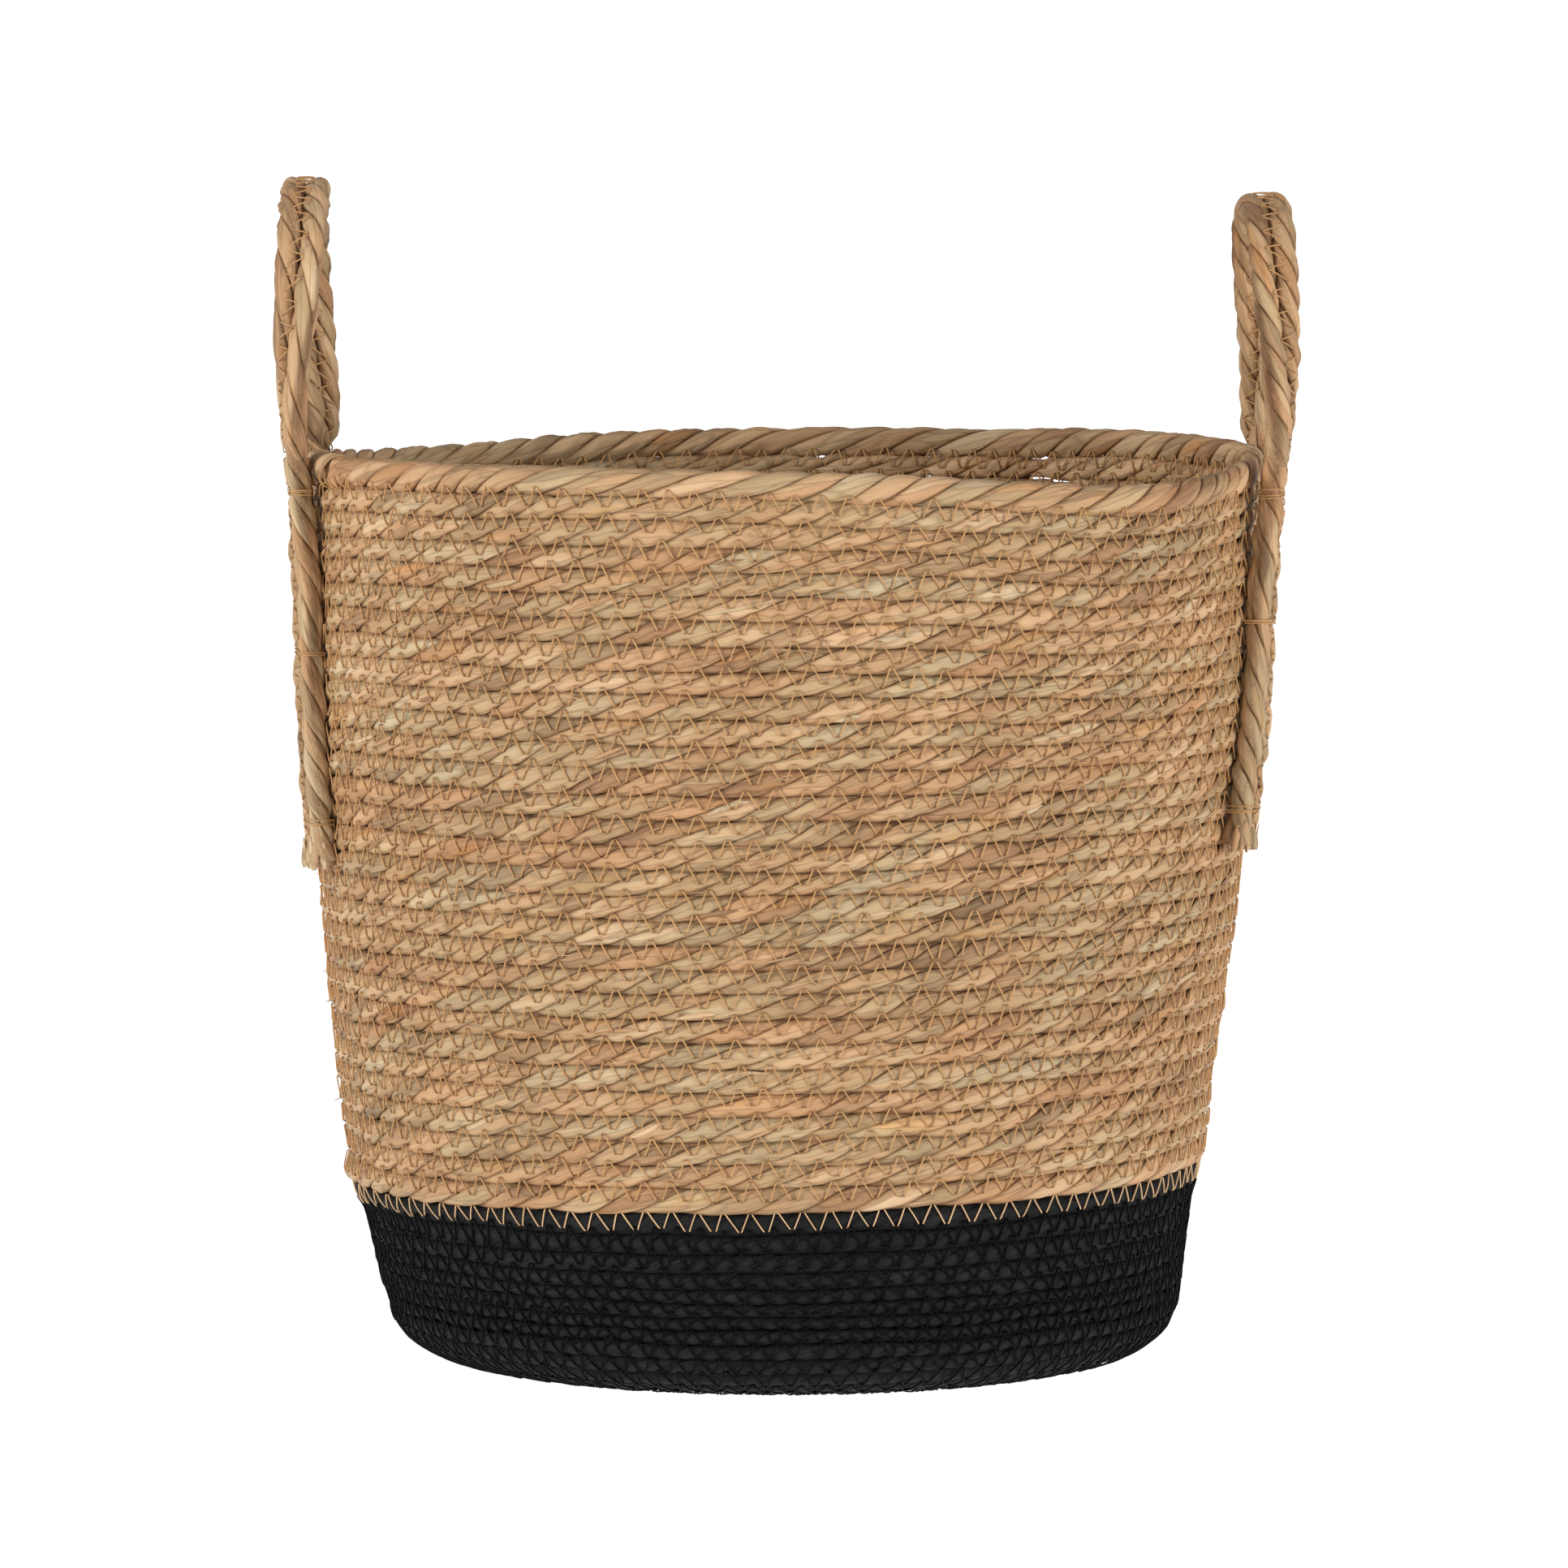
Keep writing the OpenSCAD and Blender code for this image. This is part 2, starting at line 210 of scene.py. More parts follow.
class Builder:
    """Collects vertices, faces and vertex values, and makes one mesh object of them."""

    def __init__(self):
        self.v, self.loops, self.sizes, self.data, self.count = [], [], [], {}, 0

    def add(self, verts, faces, **values):
        """faces is a list of arrays, each with one row for each face."""
        for f in faces:
            f = np.atleast_2d(f)
            self.loops.append((f + self.count).ravel())
            self.sizes.append(np.full(len(f), f.shape[1]))
        self.v.append(verts)
        self.count += len(verts)
        for key, value in values.items():
            self.data.setdefault(key, []).append(value)

    def tube(self, rings, **values):
        """rings is an array (rings, sides, 3); the ends are closed."""
        m, n = rings.shape[:2]
        caps = [np.arange(n)[::-1], (m - 1) * n + np.arange(n)]
        self.add(rings.reshape(-1, 3), [tube_faces(m, n), *caps],
                 **{k: np.asarray(a).reshape(m * n, -1).squeeze() for k, a in values.items()})

    def make(self, name, look, nodes=(), warp=handmade, bend=None):
        """look is a material and its slot; the slot is not used. A piece without a bend rides on the basket.
        """
        material, slot = look
        verts = warp(np.concatenate(self.v))
        loops = np.concatenate(self.loops).astype(np.int32)
        sizes = np.concatenate(self.sizes)
        starts = np.concatenate([[0], np.cumsum(sizes)[:-1]]).astype(np.int32)
        mesh = bpy.data.meshes.new(name)
        mesh.vertices.add(len(verts))
        mesh.vertices.foreach_set("co", (verts * MM).astype(np.float32).ravel())
        mesh.loops.add(len(loops))
        mesh.loops.foreach_set("vertex_index", loops)
        mesh.polygons.add(len(starts))
        mesh.polygons.foreach_set("loop_start", starts)
        mesh.polygons.foreach_set("use_smooth", np.ones(len(starts), bool))
        mesh.update(calc_edges=True)
        for key, parts in self.data.items():
            value = np.concatenate(parts).astype(np.float32)
            kind, field = ("FLOAT", "value") if value.ndim == 1 else ("FLOAT_VECTOR", "vector")
            mesh.attributes.new(key, kind, "POINT").data.foreach_set(field, value.ravel())
        mesh.materials.append(material)
        piece = bpy.data.objects.new(name, mesh)
        bpy.context.scene.collection.objects.link(piece)
        if bend:
            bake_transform(piece)
        else:
            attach(piece, "basket")
        if nodes:
            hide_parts(*nodes)


def unit(a):
    return a / np.maximum(np.linalg.norm(a, axis=-1, keepdims=True), 1e-9)


def summed(steps):
    return np.concatenate([[0], np.cumsum(steps)])


def length_along(path):
    return summed(np.linalg.norm(np.diff(path, axis=0), axis=1))


def frames(path, out):
    """Unit vectors along the path, outward, and across, for each point of one path or of several."""
    along = unit(np.gradient(path, axis=-2))
    normal = unit(out - (out * along).sum(-1, keepdims=True) * along)
    return along, normal, np.cross(along, normal)


# ---------------- rope
PLY_APART = 1370        # shifts the noise from one ply to the next


class Rope:
    """The lay and relief of one plied rope, turned to the left (S twist).

    pitch is the length of one turn of the lay, and loose says how uneven it is. depth and crack are the
    depths of the valleys and cracks between plies, edge is the tilt across a ply, and leaf its folds.
    """

    def __init__(self, plies, pitch, depth, seed, columns, crack, edge, leaf, square=2.1, steep=0.2,
                 phase=0.0, groove=0.75, loose=0.14):
        self.plies, self.pitch, self.depth, self.seed, self.phase = plies, pitch, depth, seed, phase
        self.square, self.steep, self.crack, self.edge, self.leaf = square, steep, crack, edge, leaf
        # groove is how strongly painted shade darkens the surface along the grooves between courses.
        self.groove, self.loose = groove, loose
        x = np.arange(columns) / columns
        x = x - 0.11 * np.sin(TAU * x)                    # closer together at the creases
        self.psi = ((np.arange(plies)[:, None] + x[None, :]) / plies * TAU).ravel()
        self.even = np.linspace(-math.pi, math.pi, 721)

    def turn(self, s):
        return -TAU * (s / self.pitch + self.loose * wander(s, self.seed + 9, 62) + self.phase)

    def lie(self, even):
        """The plies cross the face of a course steeply, and run nearly level along its grooves."""
        return even + self.steep * np.sin(2 * even)

    def unlie(self, phi):
        phi = (phi + math.pi) % TAU - math.pi
        return np.interp(phi, self.lie(self.even), self.even)

    def ply(self, psi):
        x = (psi / TAU * self.plies) % self.plies
        return np.floor(x), x - np.floor(x)

    def fold(self, s, ply):
        """Where the leaf edge inside a ply lies, as a share of its width."""
        return 0.5 + 0.27 * wander(s + 910 * ply, self.seed + 3, 38)

    def relief(self, s, psi):
        """How far the surface stands off the rope's even outline."""
        ply, u = self.ply(psi)
        key = s + PLY_APART * ply
        arch = np.sin(math.pi * u)
        free = 1 - 0.2 * smooth(np.abs(np.sin(self.lie(psi + self.turn(s)))) * 4 - 3)
        uneven = 1 + 0.35 * wander(key, self.seed + 1, 21) + 0.3 * wander(s, self.seed + 8, 150)
        low = -(self.depth * uneven * free) * (1 - arch) ** 1.15
        crack = np.exp(-(np.minimum(u, 1 - u) / 0.042) ** 2)
        low -= free * self.crack * crack * (0.8 + 0.4 * wander(key, self.seed + 6, 13))
        low += self.edge * (1 + 0.9 * wander(key, self.seed + 2, 33)) * (0.5 - u) * arch ** 0.25
        fold = np.exp(-((u - self.fold(s, ply)) / 0.09) ** 2)
        low -= self.leaf * fold * (0.55 + 0.45 * wander(key, self.seed + 4, 27))
        low += 0.7 * self.leaf * wander(key + 40 * np.round(u * 5), self.seed + 5, 8.0) * arch
        return low

    def mottle(self, s, ply, even, seed, mean, by_lobe, by_ply, by_rope):
        """A value from 0 to 1 that changes from lobe to lobe, along each ply and along the rope."""
        seed += self.seed
        value = mean + by_lobe * chance(np.floor(even / math.pi + 0.5) * 3 + ply, seed)
        for at, (share, step) in ((s + PLY_APART * ply, by_ply), (s, by_rope)):
            seed += 1
            value = value + share * wander(at, seed, step)
        return np.clip(value, 0, 1)

    def outline(self, phi, a, b):
        m = self.square
        return (np.abs(np.cos(phi) / a) ** m + np.abs(np.sin(phi) / b) ** m) ** (-1 / m)

    def skin(self, path, out, s, a, b, pinch=None):
        """Rings of points for the rope's surface, with the values that its material reads."""
        _, normal, across = frames(path, out)
        s2, a2, b2 = s[:, None], a[:, None], b[:, None]
        psi = self.psi[None, :] + 0 * s2
        even = psi + self.turn(s2)
        phi = self.lie(even)
        scale = np.minimum(1, np.minimum(a2, b2) / (0.7 * self.depth + 2.2))
        r = self.outline(phi, a2, b2) + self.relief(s2, psi) * scale
        if pinch is not None:
            r = r - pinch(phi, b2)
        rings = (path[:, None] + (r * np.cos(phi))[..., None] * normal[:, None]
                 + (r * np.sin(phi))[..., None] * across[:, None])
        ply, u = self.ply(psi)
        key = s2 + PLY_APART * ply
        drift = 1.6 * wander(key, self.seed + 17, 32)
        lobe = np.floor(even / math.pi + 0.5)
        fibre = psi + 0.62 * self.turn(s2)                # the leaf's own fibres lie nearly along the rope
        lay = np.stack([s2 + 0 * psi, fibre * 4.9 + drift, ply * 3.7 + lobe * 1.9 + self.seed], -1)
        # Painted shade: darker along the creases between plies, more so near the grooves, and along the
        # grooves between courses.
        crease = np.exp(-(np.minimum(u, 1 - u) / 0.05) ** 2) * (0.45 + 0.55 * np.abs(np.sin(phi)) ** 2)
        crease = crease * (0.85 + 0.3 * wander(key, self.seed + 6, 13))
        groove = smooth((np.abs(np.sin(phi)) - 0.80) / 0.16) * (0.55 + 0.55 * wander(s2, self.seed + 18, 24))
        crease = np.clip(np.maximum(crease, self.groove * groove), 0, 1)
        tone = self.mottle(s2, ply, even, 11, 0.5, 0.2, (0.16, 70), (0.12, 160))   # how pale the leaf is
        hue = self.mottle(s2, ply, even, 14, 0.45, 0.22, (0.2, 80), (0.14, 240))   # greenish to reddish
        return rings, dict(lay=lay, tone=tone, hue=hue, crease=crease)


NATURAL = Rope(3, 60.0, 1.3, 100, 13, crack=0.8, edge=0.45, leaf=0.35)
DARK = Rope(3, 46.0, 0.45, 200, 8, crack=0.25, edge=0.2, leaf=0.15)
RIM = Rope(3, 54.0, 1.5, 300, 18, steep=0.08, crack=0.8, edge=0.8, leaf=0.5, groove=0.3, loose=0.24)


class Helix:
    """Arc length and place along one kind of course, as a function of its turn."""

    def __init__(self, first, last, line, half, press):
        self.line, self.half, self.press = line, half, press
        self.t = np.linspace(first, last, int((last - first) * 400) + 2)
        r = line(self.middle(self.t))[0]
        self.s = summed(np.diff(self.t) * TAU * np.maximum((r[1:] + r[:-1]) / 2, 2.5))

    def top(self, t):
        return np.minimum(rise(t + 1), NATURAL_RISE)

    def middle(self, t):
        return (rise(t) + self.top(t)) / 2

    def half_height(self, t, least):
        """Half the height of a course, with its press into its neighbours. The flat base is pressed shut."""
        shut = BASE_PRESS * smooth((BASE_PRESS_TURN - t) / 2)
        return np.maximum((self.top(t) - rise(t)) / 2, least) + self.press + shut

    def arc(self, t):
        return np.interp(t, self.t, self.s)

    def turn_at(self, s):
        return np.interp(s, self.s, self.t)


def at_azimuth(az, r, z):
    """Points at azimuth az, r out from the axis and z up. Directions are made in the same way."""
    return np.stack([r * np.cos(az), r * np.sin(az), z + 0 * az], -1)


def at_turn(t, r, z):
    return at_azimuth(math.pi + TAU * np.asarray(t), r, z)


NATURAL_HELIX = Helix(-0.03, NATURAL_TURNS + 0.09, natural_line, NATURAL_HALF, NATURAL_PRESS)
DARK_HELIX = Helix(-DARK_TURNS, 0.05, dark_line, DARK_HALF, DARK_PRESS)


# ---------------- stitches
class Seam:
    """A zigzag row along a groove. A stitch is a top hop, a stroke down, a bottom hop and a stroke up.

    above and below say how far the strokes reach over and under the groove, hops and down give the parts
    of a stitch as shares of its period, and step sets the rope above further out.
    """

    def __init__(self, first, last, period, above, below, seed, line, lower, upper, hops, down, drift,
                 step=0.0, shown_hops=True):
        self.first, self.last, self.above, self.below, self.seed = first, last, above, below, seed
        self.period, self.step, self.shown_hops, self.drift = period, step, shown_hops, drift
        self.line, self.lower, self.upper = line, lower, upper
        self.t = np.linspace(first - 0.2, last + 0.2, int((last - first + 0.4) * 300) + 2)
        r = line(rise(self.t))[0]
        arc = summed(np.diff(self.t) * TAU * np.maximum((r[1:] + r[:-1]) / 2, 3.5))
        self.q = arc / period + 0.35 * wander(arc, seed, period * 7)
        self.hop_top, self.hop_low = hops
        self.down = down

    def phase(self, t):
        return np.interp(t, self.t, self.q)

    def turn_at(self, q):
        return np.interp(q, self.q, self.t)

    def top_h(self, i):
        return self.above + 0.5 * chance(i, self.seed + 1) + self.drift * wander(i, self.seed + 6, 70)

    def low_h(self, i):
        return -self.below - 0.6 * chance(i, self.seed + 2) + self.drift * wander(i, self.seed + 7, 55)


def hull(x):
    """Pulls each row of points tight over its own bumps: the upper hull."""
    n = x.shape[1]
    best = x.copy()
    for j in range(n):
        for k in range(j + 2, n):
            w = (np.arange(j + 1, k) - j) / (k - j)
            line = x[:, j:j + 1] * (1 - w) + x[:, k:k + 1] * w
            best[:, j + 1:k] = np.maximum(best[:, j + 1:k], line)
    return best


def stitches(seam, first, last, radius, side, points, proud):
    """The stitches of a seam between two turns, as strokes and hops. side is 1 outside and -1 inside."""
    i = np.arange(math.ceil(seam.phase(first)), math.floor(seam.phase(last)))
    top, low, next_top = seam.top_h(i), seam.low_h(i), seam.top_h(i + 1)
    mark = [0.0, seam.hop_top, seam.hop_top + seam.down, seam.hop_top + seam.down + seam.hop_low, 1.0]
    q = [i + m + 0.035 * chance(i * 4 + k, seam.seed + 5) for k, m in enumerate(mark)]
    q[4] = i + 1 + 0.035 * chance((i + 1) * 4, seam.seed + 5)

    def place(q0, q1, h0, h1, w, lift):
        qq = q0[:, None] * (1 - w) + q1[:, None] * w
        h = h0[:, None] * (1 - w) + h1[:, None] * w
        t = seam.turn_at(qq.ravel())
        x = (hull((side * seam_surface(seam, t, h.ravel(), side)).reshape(h.shape)) + lift).ravel()
        r, z, nr, nz = seam.line(rise(t) + h.ravel())
        path = at_turn(t, r + side * x * nr, z + side * x * nz).reshape(*h.shape, 3)
        return path, at_turn(t, nr, nz).reshape(*h.shape, 3)

    w = np.interp(np.arange(points), [0, 1, points - 2, points - 1], [0, 0.05, 0.95, 1])[None, :]
    lift = np.full(points, radius * proud)
    lift[[0, -1]] = -0.25
    shade = np.full(points, 1.0)
    shade[[0, -1]] = 0.25
    rows = [(place(q[1], q[2], top, low, w, lift), shade),
            (place(q[3], q[4], low, next_top, w, lift), shade)]
    if seam.shown_hops:
        w = np.array([[0.0, 0.5, 1.0]])
        sunk = np.array([-0.2, 0.0, -0.2]) - 0.1 * radius
        rows += [(place(q[0], q[1], top, top, w, sunk), np.full(3, 0.55)),
                 (place(q[2], q[3], low, low, w, sunk), np.full(3, 0.6))]
    sizes = (1.0, 1.0, 0.75, 0.75)
    return [(path, out, radius * size, shade) for ((path, out), shade), size in zip(rows, sizes)]


def thread_tubes(make, path, out, radius, shade, sides=4):
    """Adds many short tubes: path and out are (tubes, rings, 3)."""
    n, m = path.shape[:2]
    _, normal, across = frames(path, out)
    a = TAU * (np.arange(sides) + 0.5) / sides
    rings = path[:, :, None] + radius * (np.cos(a)[:, None] * normal[:, :, None]
                                         + np.sin(a)[:, None] * across[:, :, None])
    step = np.linalg.norm(np.diff(path, axis=1), axis=2)
    s = np.concatenate([np.zeros((n, 1)), np.cumsum(step, 1)], 1) + 3.7 * np.arange(n)[:, None]
    lay = np.stack(np.broadcast_arrays(s[..., None], radius * a, 0.0), -1)
    first = (np.arange(n) * m * sides)[:, None]
    quads = (first[:, None] + tube_faces(m, sides)[None]).reshape(-1, 4)
    caps = [first + np.arange(sides)[::-1], first + (m - 1) * sides + np.arange(sides)]
    make.add(rings.reshape(-1, 3), [quads, *caps], lay=lay.reshape(-1, 3),
             shade=np.broadcast_to(np.asarray(shade)[None, :, None], (n, m, sides)).ravel())


def seam_surface(seam, t, h, side):
    """How far the ropes' surface is from their middle line, at height h over the groove under turn t."""
    up = h > 0
    result = np.zeros_like(h)
    for mask, kind, shift in ((up, seam.upper, 0), (~up, seam.lower, -1)):
        if not mask.any():
            continue
        rope, helix = kind
        tt, hh = t[mask] + shift, h[mask]
        low, top = rise(tt), helix.top(tt)
        b = helix.half_height(tt, 0.5)
        v = np.clip(rise(t[mask]) + hh - (low + top) / 2, -b, b)
        a = helix.half + 0.15
        x = a * (1 - np.clip(np.abs(v) / b, 0, 1) ** rope.square) ** (1 / rope.square)
        phi = np.arctan2(-v, side * x)
        s = helix.arc(tt)
        r = rope.outline(phi, a, b) + rope.relief(s, rope.unlie(phi) - rope.turn(s))
        result[mask] = r * np.cos(phi) + side * (seam.step if shift == 0 else 0)
    at_rim = up & (rise(t) > NATURAL_RISE - 0.5)
    over_rim = np.sqrt(np.maximum(RIM_ROPE_R ** 2 - (RIM_ROPE_R - h) ** 2, 0)) + 0.3
    return np.where(at_rim, side * over_rim, result)


def pinch_of(t, seam, deep):
    """How the thread's entry points pull a course in, at the groove under it and at the one over it."""

    def pinch(phi, b):
        total = 0
        v = -b * np.sin(phi)
        for shift in (0, 1):
            q = seam.phase(t + shift)
            inside = (t + shift >= seam.first) & (t + shift <= seam.last)
            i = np.floor(q)
            if shift == 0:
                place = seam.hop_top / 2
                height = -b + seam.top_h(i)[:, None]
            else:
                place = seam.hop_top + seam.down + seam.hop_low / 2
                height = b + seam.low_h(i)[:, None]
            d = (q - i - place + 0.5) % 1 - 0.5
            near = np.exp(-0.5 * (d[:, None] * seam.period / 1.9) ** 2 - 0.5 * ((v - height) / 1.3) ** 2)
            total = total + near * inside[:, None]
        return deep * total

    return pinch


ROPE_KIND = (NATURAL, NATURAL_HELIX)
DARK_KIND = (DARK, DARK_HELIX)
NATURAL_SEAM = Seam(1.0, NATURAL_TURNS + 0.985, 11.0, 3.0, 4.6, 41, natural_line, ROPE_KIND, ROPE_KIND,
                    hops=(0.12, 0.19), down=0.43, drift=0.5)
JOIN_SEAM = Seam(0.02, 1.0, 10.6, 1.2, 6.4, 42, dark_line, DARK_KIND, ROPE_KIND,
                 hops=(0.15, 0.15), down=0.43, drift=0.0, step=0.6, shown_hops=False)
DARK_SEAM = Seam(-DARK_TURNS + 1.4, 0.0, 9.6, 2.7, 5.3, 43, dark_line, DARK_KIND, DARK_KIND,
                 hops=(0.12, 0.1), down=0.48, drift=1.3)


# ---------------- materials
def shader(name):
    mat = bpy.data.materials.new(name)
    mat.use_nodes = True
    tree = mat.node_tree
    tree.nodes.clear()
    out = tree.nodes.new("ShaderNodeOutputMaterial")
    bsdf = tree.nodes.new("ShaderNodeBsdfPrincipled")
    tree.links.new(bsdf.outputs[0], out.inputs[0])
    return mat, tree, bsdf


def put(tree, socket, value):
    if isinstance(value, bpy.types.NodeSocket):
        tree.links.new(value, socket)
    else:
        socket.default_value = value


def preset(node, values):
    for key, value in values.items():
        node.inputs[key].default_value = value


def maths(tree, kind, a, b=0.0, c=None):
    n = tree.nodes.new("ShaderNodeMath")
    n.operation = kind
    put(tree, n.inputs[0], a)
    put(tree, n.inputs[1], b)
    if c is not None:
        put(tree, n.inputs[2], c)
    return n.outputs[0]


def attribute(tree, name, output="Fac"):
    n = tree.nodes.new("ShaderNodeAttribute")
    n.attribute_name = name
    return n.outputs[output]


def drawn_out(tree, lay, along, across, shift):
    """Places on the leaf, with a unit of along and across millimetres, moved by shift."""
    n = tree.nodes.new("ShaderNodeVectorMath")
    n.operation = "MULTIPLY_ADD"
    put(tree, n.inputs[0], lay)
    n.inputs[1].default_value = (1 / along, 1 / across, 1.0)
    n.inputs[2].default_value = shift
    return n.outputs[0]


def stretched(tree, lay, along, across, detail, seed, rough=0.55):
    """Noise drawn out along the leaf: along and across are its sizes in millimetres."""
    tex = tree.nodes.new("ShaderNodeTexNoise")
    preset(tex, {"Scale": 1.0, "Detail": detail, "Roughness": rough})
    put(tree, tex.inputs["Vector"], drawn_out(tree, lay, along, across, (seed, seed * 1.7, seed * 0.6)))
    return tex.outputs["Fac"]


def ramp(tree, value, stops):
    n = tree.nodes.new("ShaderNodeValToRGB")
    while len(n.color_ramp.elements) < len(stops):
        n.color_ramp.elements.new(0.5)
    for e, (at, colour) in zip(n.color_ramp.elements, stops):
        e.position, e.color = at, colour
    put(tree, n.inputs[0], value)
    return n.outputs[0]


def mix(tree, kind, a, b, factor):
    n = tree.nodes.new("ShaderNodeMix")
    n.data_type, n.blend_type = "RGBA", kind
    put(tree, n.inputs[0], factor)
    put(tree, n.inputs[6], a)
    put(tree, n.inputs[7], b)
    return n.outputs[2]


def grey(x):
    return (x, x, x, 1)


def srgb(r, g, b):
    """A screen colour from 0 to 255 as the linear colour that a shader wants."""
    linear = [c / 255 / 12.92 if c < 10.3 else ((c / 255 + 0.055) / 1.055) ** 2.4 for c in (r, g, b)]
    return (*linear, 1)


def bump(tree, bsdf, height, strength, distance):
    n = tree.nodes.new("ShaderNodeBump")
    preset(n, {"Strength": strength, "Distance": distance})
    put(tree, n.inputs["Height"], height)
    put(tree, bsdf.inputs["Normal"], n.outputs[0])


def leaf_strips(tree, lay, along, across, seed):
    """Long narrow leaf strips: a random value for each strip, a second one, and the distance to its edge."""
    where = drawn_out(tree, lay, along, across, (seed, seed * 1.3, seed * 0.7))
    cells = tree.nodes.new("ShaderNodeTexVoronoi")
    rims = tree.nodes.new("ShaderNodeTexVoronoi")
    rims.feature = "DISTANCE_TO_EDGE"
    for tex in (cells, rims):
        tex.inputs["Scale"].default_value = 1.0
        put(tree, tex.inputs["Vector"], where)
    split = tree.nodes.new("ShaderNodeSeparateColor")
    put(tree, split.inputs[0], cells.outputs["Color"])
    return split.outputs[0], split.outputs[1], rims.outputs["Distance"]


def times(tree, a, b):
    return maths(tree, "MULTIPLY", a, b)


def total(tree, value, *more):
    for part in more:
        value = maths(tree, "ADD", value, part)
    return value


def centred(tree, value, gain):
    return times(tree, maths(tree, "SUBTRACT", value, 0.5), gain)


def tinted(tree, colour, value, stops, share=1.0):
    """A colour multiplied by a ramp of a value."""
    return mix(tree, "MULTIPLY", colour, ramp(tree, value, stops), share)


def leaf_material(name):
    mat, tree, bsdf = shader(name)
    lay = attribute(tree, "lay", "Vector")
    strip_a, strip_b, strip_edge = leaf_strips(tree, lay, 42, 3.4, 2.3)
    blotch = stretched(tree, lay, 26, 5, 3, 3.1)
    streak = stretched(tree, lay, 34, 0.8, 4, 7.7, 0.6)
    fine = stretched(tree, lay, 20, 0.26, 3, 1.3, 0.65)
    amber = stretched(tree, lay, 60, 9, 2, 17.3)
    marks = stretched(tree, lay, 7, 1.6, 4, 11.9, 0.6)
    value = total(tree, attribute(tree, "tone"), centred(tree, strip_a, 0.34), centred(tree, blotch, 0.6),
                  centred(tree, streak, 0.4))
    colour = ramp(tree, value, [
        (0.00, srgb(144, 109, 74)), (0.22, srgb(173, 135, 97)), (0.45, srgb(192, 154, 112)),
        (0.65, srgb(202, 165, 123)), (0.85, srgb(210, 176, 135)), (1.00, srgb(220, 190, 151))])
    colour = tinted(tree, colour, total(tree, attribute(tree, "hue"), centred(tree, strip_b, 0.4)), [
        (0.05, (0.84, 0.96, 1.02, 1)), (0.30, (0.93, 0.99, 1.0, 1)), (0.50, grey(1.0)),
        (0.70, (1.02, 0.96, 0.94, 1)), (0.88, (1.01, 0.91, 0.87, 1)), (1.0, (0.98, 0.84, 0.74, 1))])
    colour = tinted(tree, colour, amber, [(0.62, grey(1.0)), (0.72, (1.06, 0.94, 0.74, 1))])
    colour = tinted(tree, colour, fine,
                    [(0.30, grey(0.66)), (0.42, grey(0.95)), (0.62, grey(1.0)), (0.8, grey(1.06))], 0.7)
    colour = tinted(tree, colour, strip_edge, [(0.0, grey(0.62)), (0.05, grey(0.9)), (0.1, grey(1.0))], 0.8)
    colour = tinted(tree, colour, marks, [(0.26, grey(0.6)), (0.36, grey(1.0))], 0.7)
    # Painted shade: the creases between plies and the grooves between courses are darkened towards a deep
    # brown.
    colour = tinted(tree, colour, attribute(tree, "crease"),
                    [(0.0, grey(1.0)), (0.35, (0.72, 0.66, 0.60, 1)), (1.0, (0.26, 0.18, 0.13, 1))])
    put(tree, bsdf.inputs["Base Color"], colour)
    edges = times(tree, maths(tree, "MINIMUM", strip_edge, 0.14), 1.6)
    height = total(tree, times(tree, streak, 0.7), times(tree, fine, 0.4), times(tree, strip_a, 0.25), edges)
    bump(tree, bsdf, height, 0.8, 0.0008)
    put(tree, bsdf.inputs["Roughness"], maths(tree, "MULTIPLY_ADD", blotch, 0.25, 0.48))
    bsdf.inputs["Specular IOR Level"].default_value = 0.35
    return mat


def dark_material(name):
    mat, tree, bsdf = shader(name)
    lay = attribute(tree, "lay", "Vector")
    streak = stretched(tree, lay, 16, 0.7, 4, 5.5, 0.65)
    blotch = stretched(tree, lay, 14, 4, 3, 2.2)
    value = total(tree, times(tree, attribute(tree, "tone"), 0.3),
                  maths(tree, "MULTIPLY_ADD", streak, 1.3, -0.3), centred(tree, blotch, 0.4))
    colour = ramp(tree, value, [(0.2, srgb(13, 13, 14)), (0.5, srgb(25, 25, 25)), (0.75, srgb(39, 38, 38)),
                                (0.95, srgb(60, 58, 57))])
    # Painted shade: darker in the creases between plies and along the grooves between courses.
    colour = tinted(tree, colour, attribute(tree, "crease"), [(0, grey(1)), (1, grey(0.45))])
    put(tree, bsdf.inputs["Base Color"], colour)
    bump(tree, bsdf, total(tree, streak, times(tree, blotch, 0.5)), 0.7, 0.0006)
    put(tree, bsdf.inputs["Roughness"], maths(tree, "MULTIPLY_ADD", blotch, 0.2, 0.6))
    bsdf.inputs["Specular IOR Level"].default_value = 0.16
    return mat


def thread_material(name, deep, mid, pale, rough, spec, sheen=0.1):
    """A twisted sewing thread: slanting plies with a soft sheen."""
    mat, tree, bsdf = shader(name)
    lay = attribute(tree, "lay", "Vector")
    split = tree.nodes.new("ShaderNodeSeparateXYZ")
    put(tree, split.inputs[0], lay)
    slant = total(tree, times(tree, split.outputs[0], TAU / 1.1), times(tree, split.outputs[1], 6.0))
    ply = maths(tree, "MULTIPLY_ADD", maths(tree, "SINE", slant), 0.5, 0.5)
    patch = stretched(tree, lay, 6, 6, 2, 4.0)
    value = total(tree, times(tree, ply, 0.55), times(tree, patch, 0.5))
    colour = ramp(tree, value, [(0.1, srgb(*deep)), (0.5, srgb(*mid)), (0.9, srgb(*pale))])
    colour = tinted(tree, colour, attribute(tree, "shade"), [(0.2, (0.34, 0.27, 0.2, 1)), (0.9, grey(1.0))])
    put(tree, bsdf.inputs["Base Color"], colour)
    bump(tree, bsdf, ply, 0.4, 0.0002)
    preset(bsdf, {"Roughness": rough, "Specular IOR Level": spec, "Sheen Weight": sheen})
    return mat


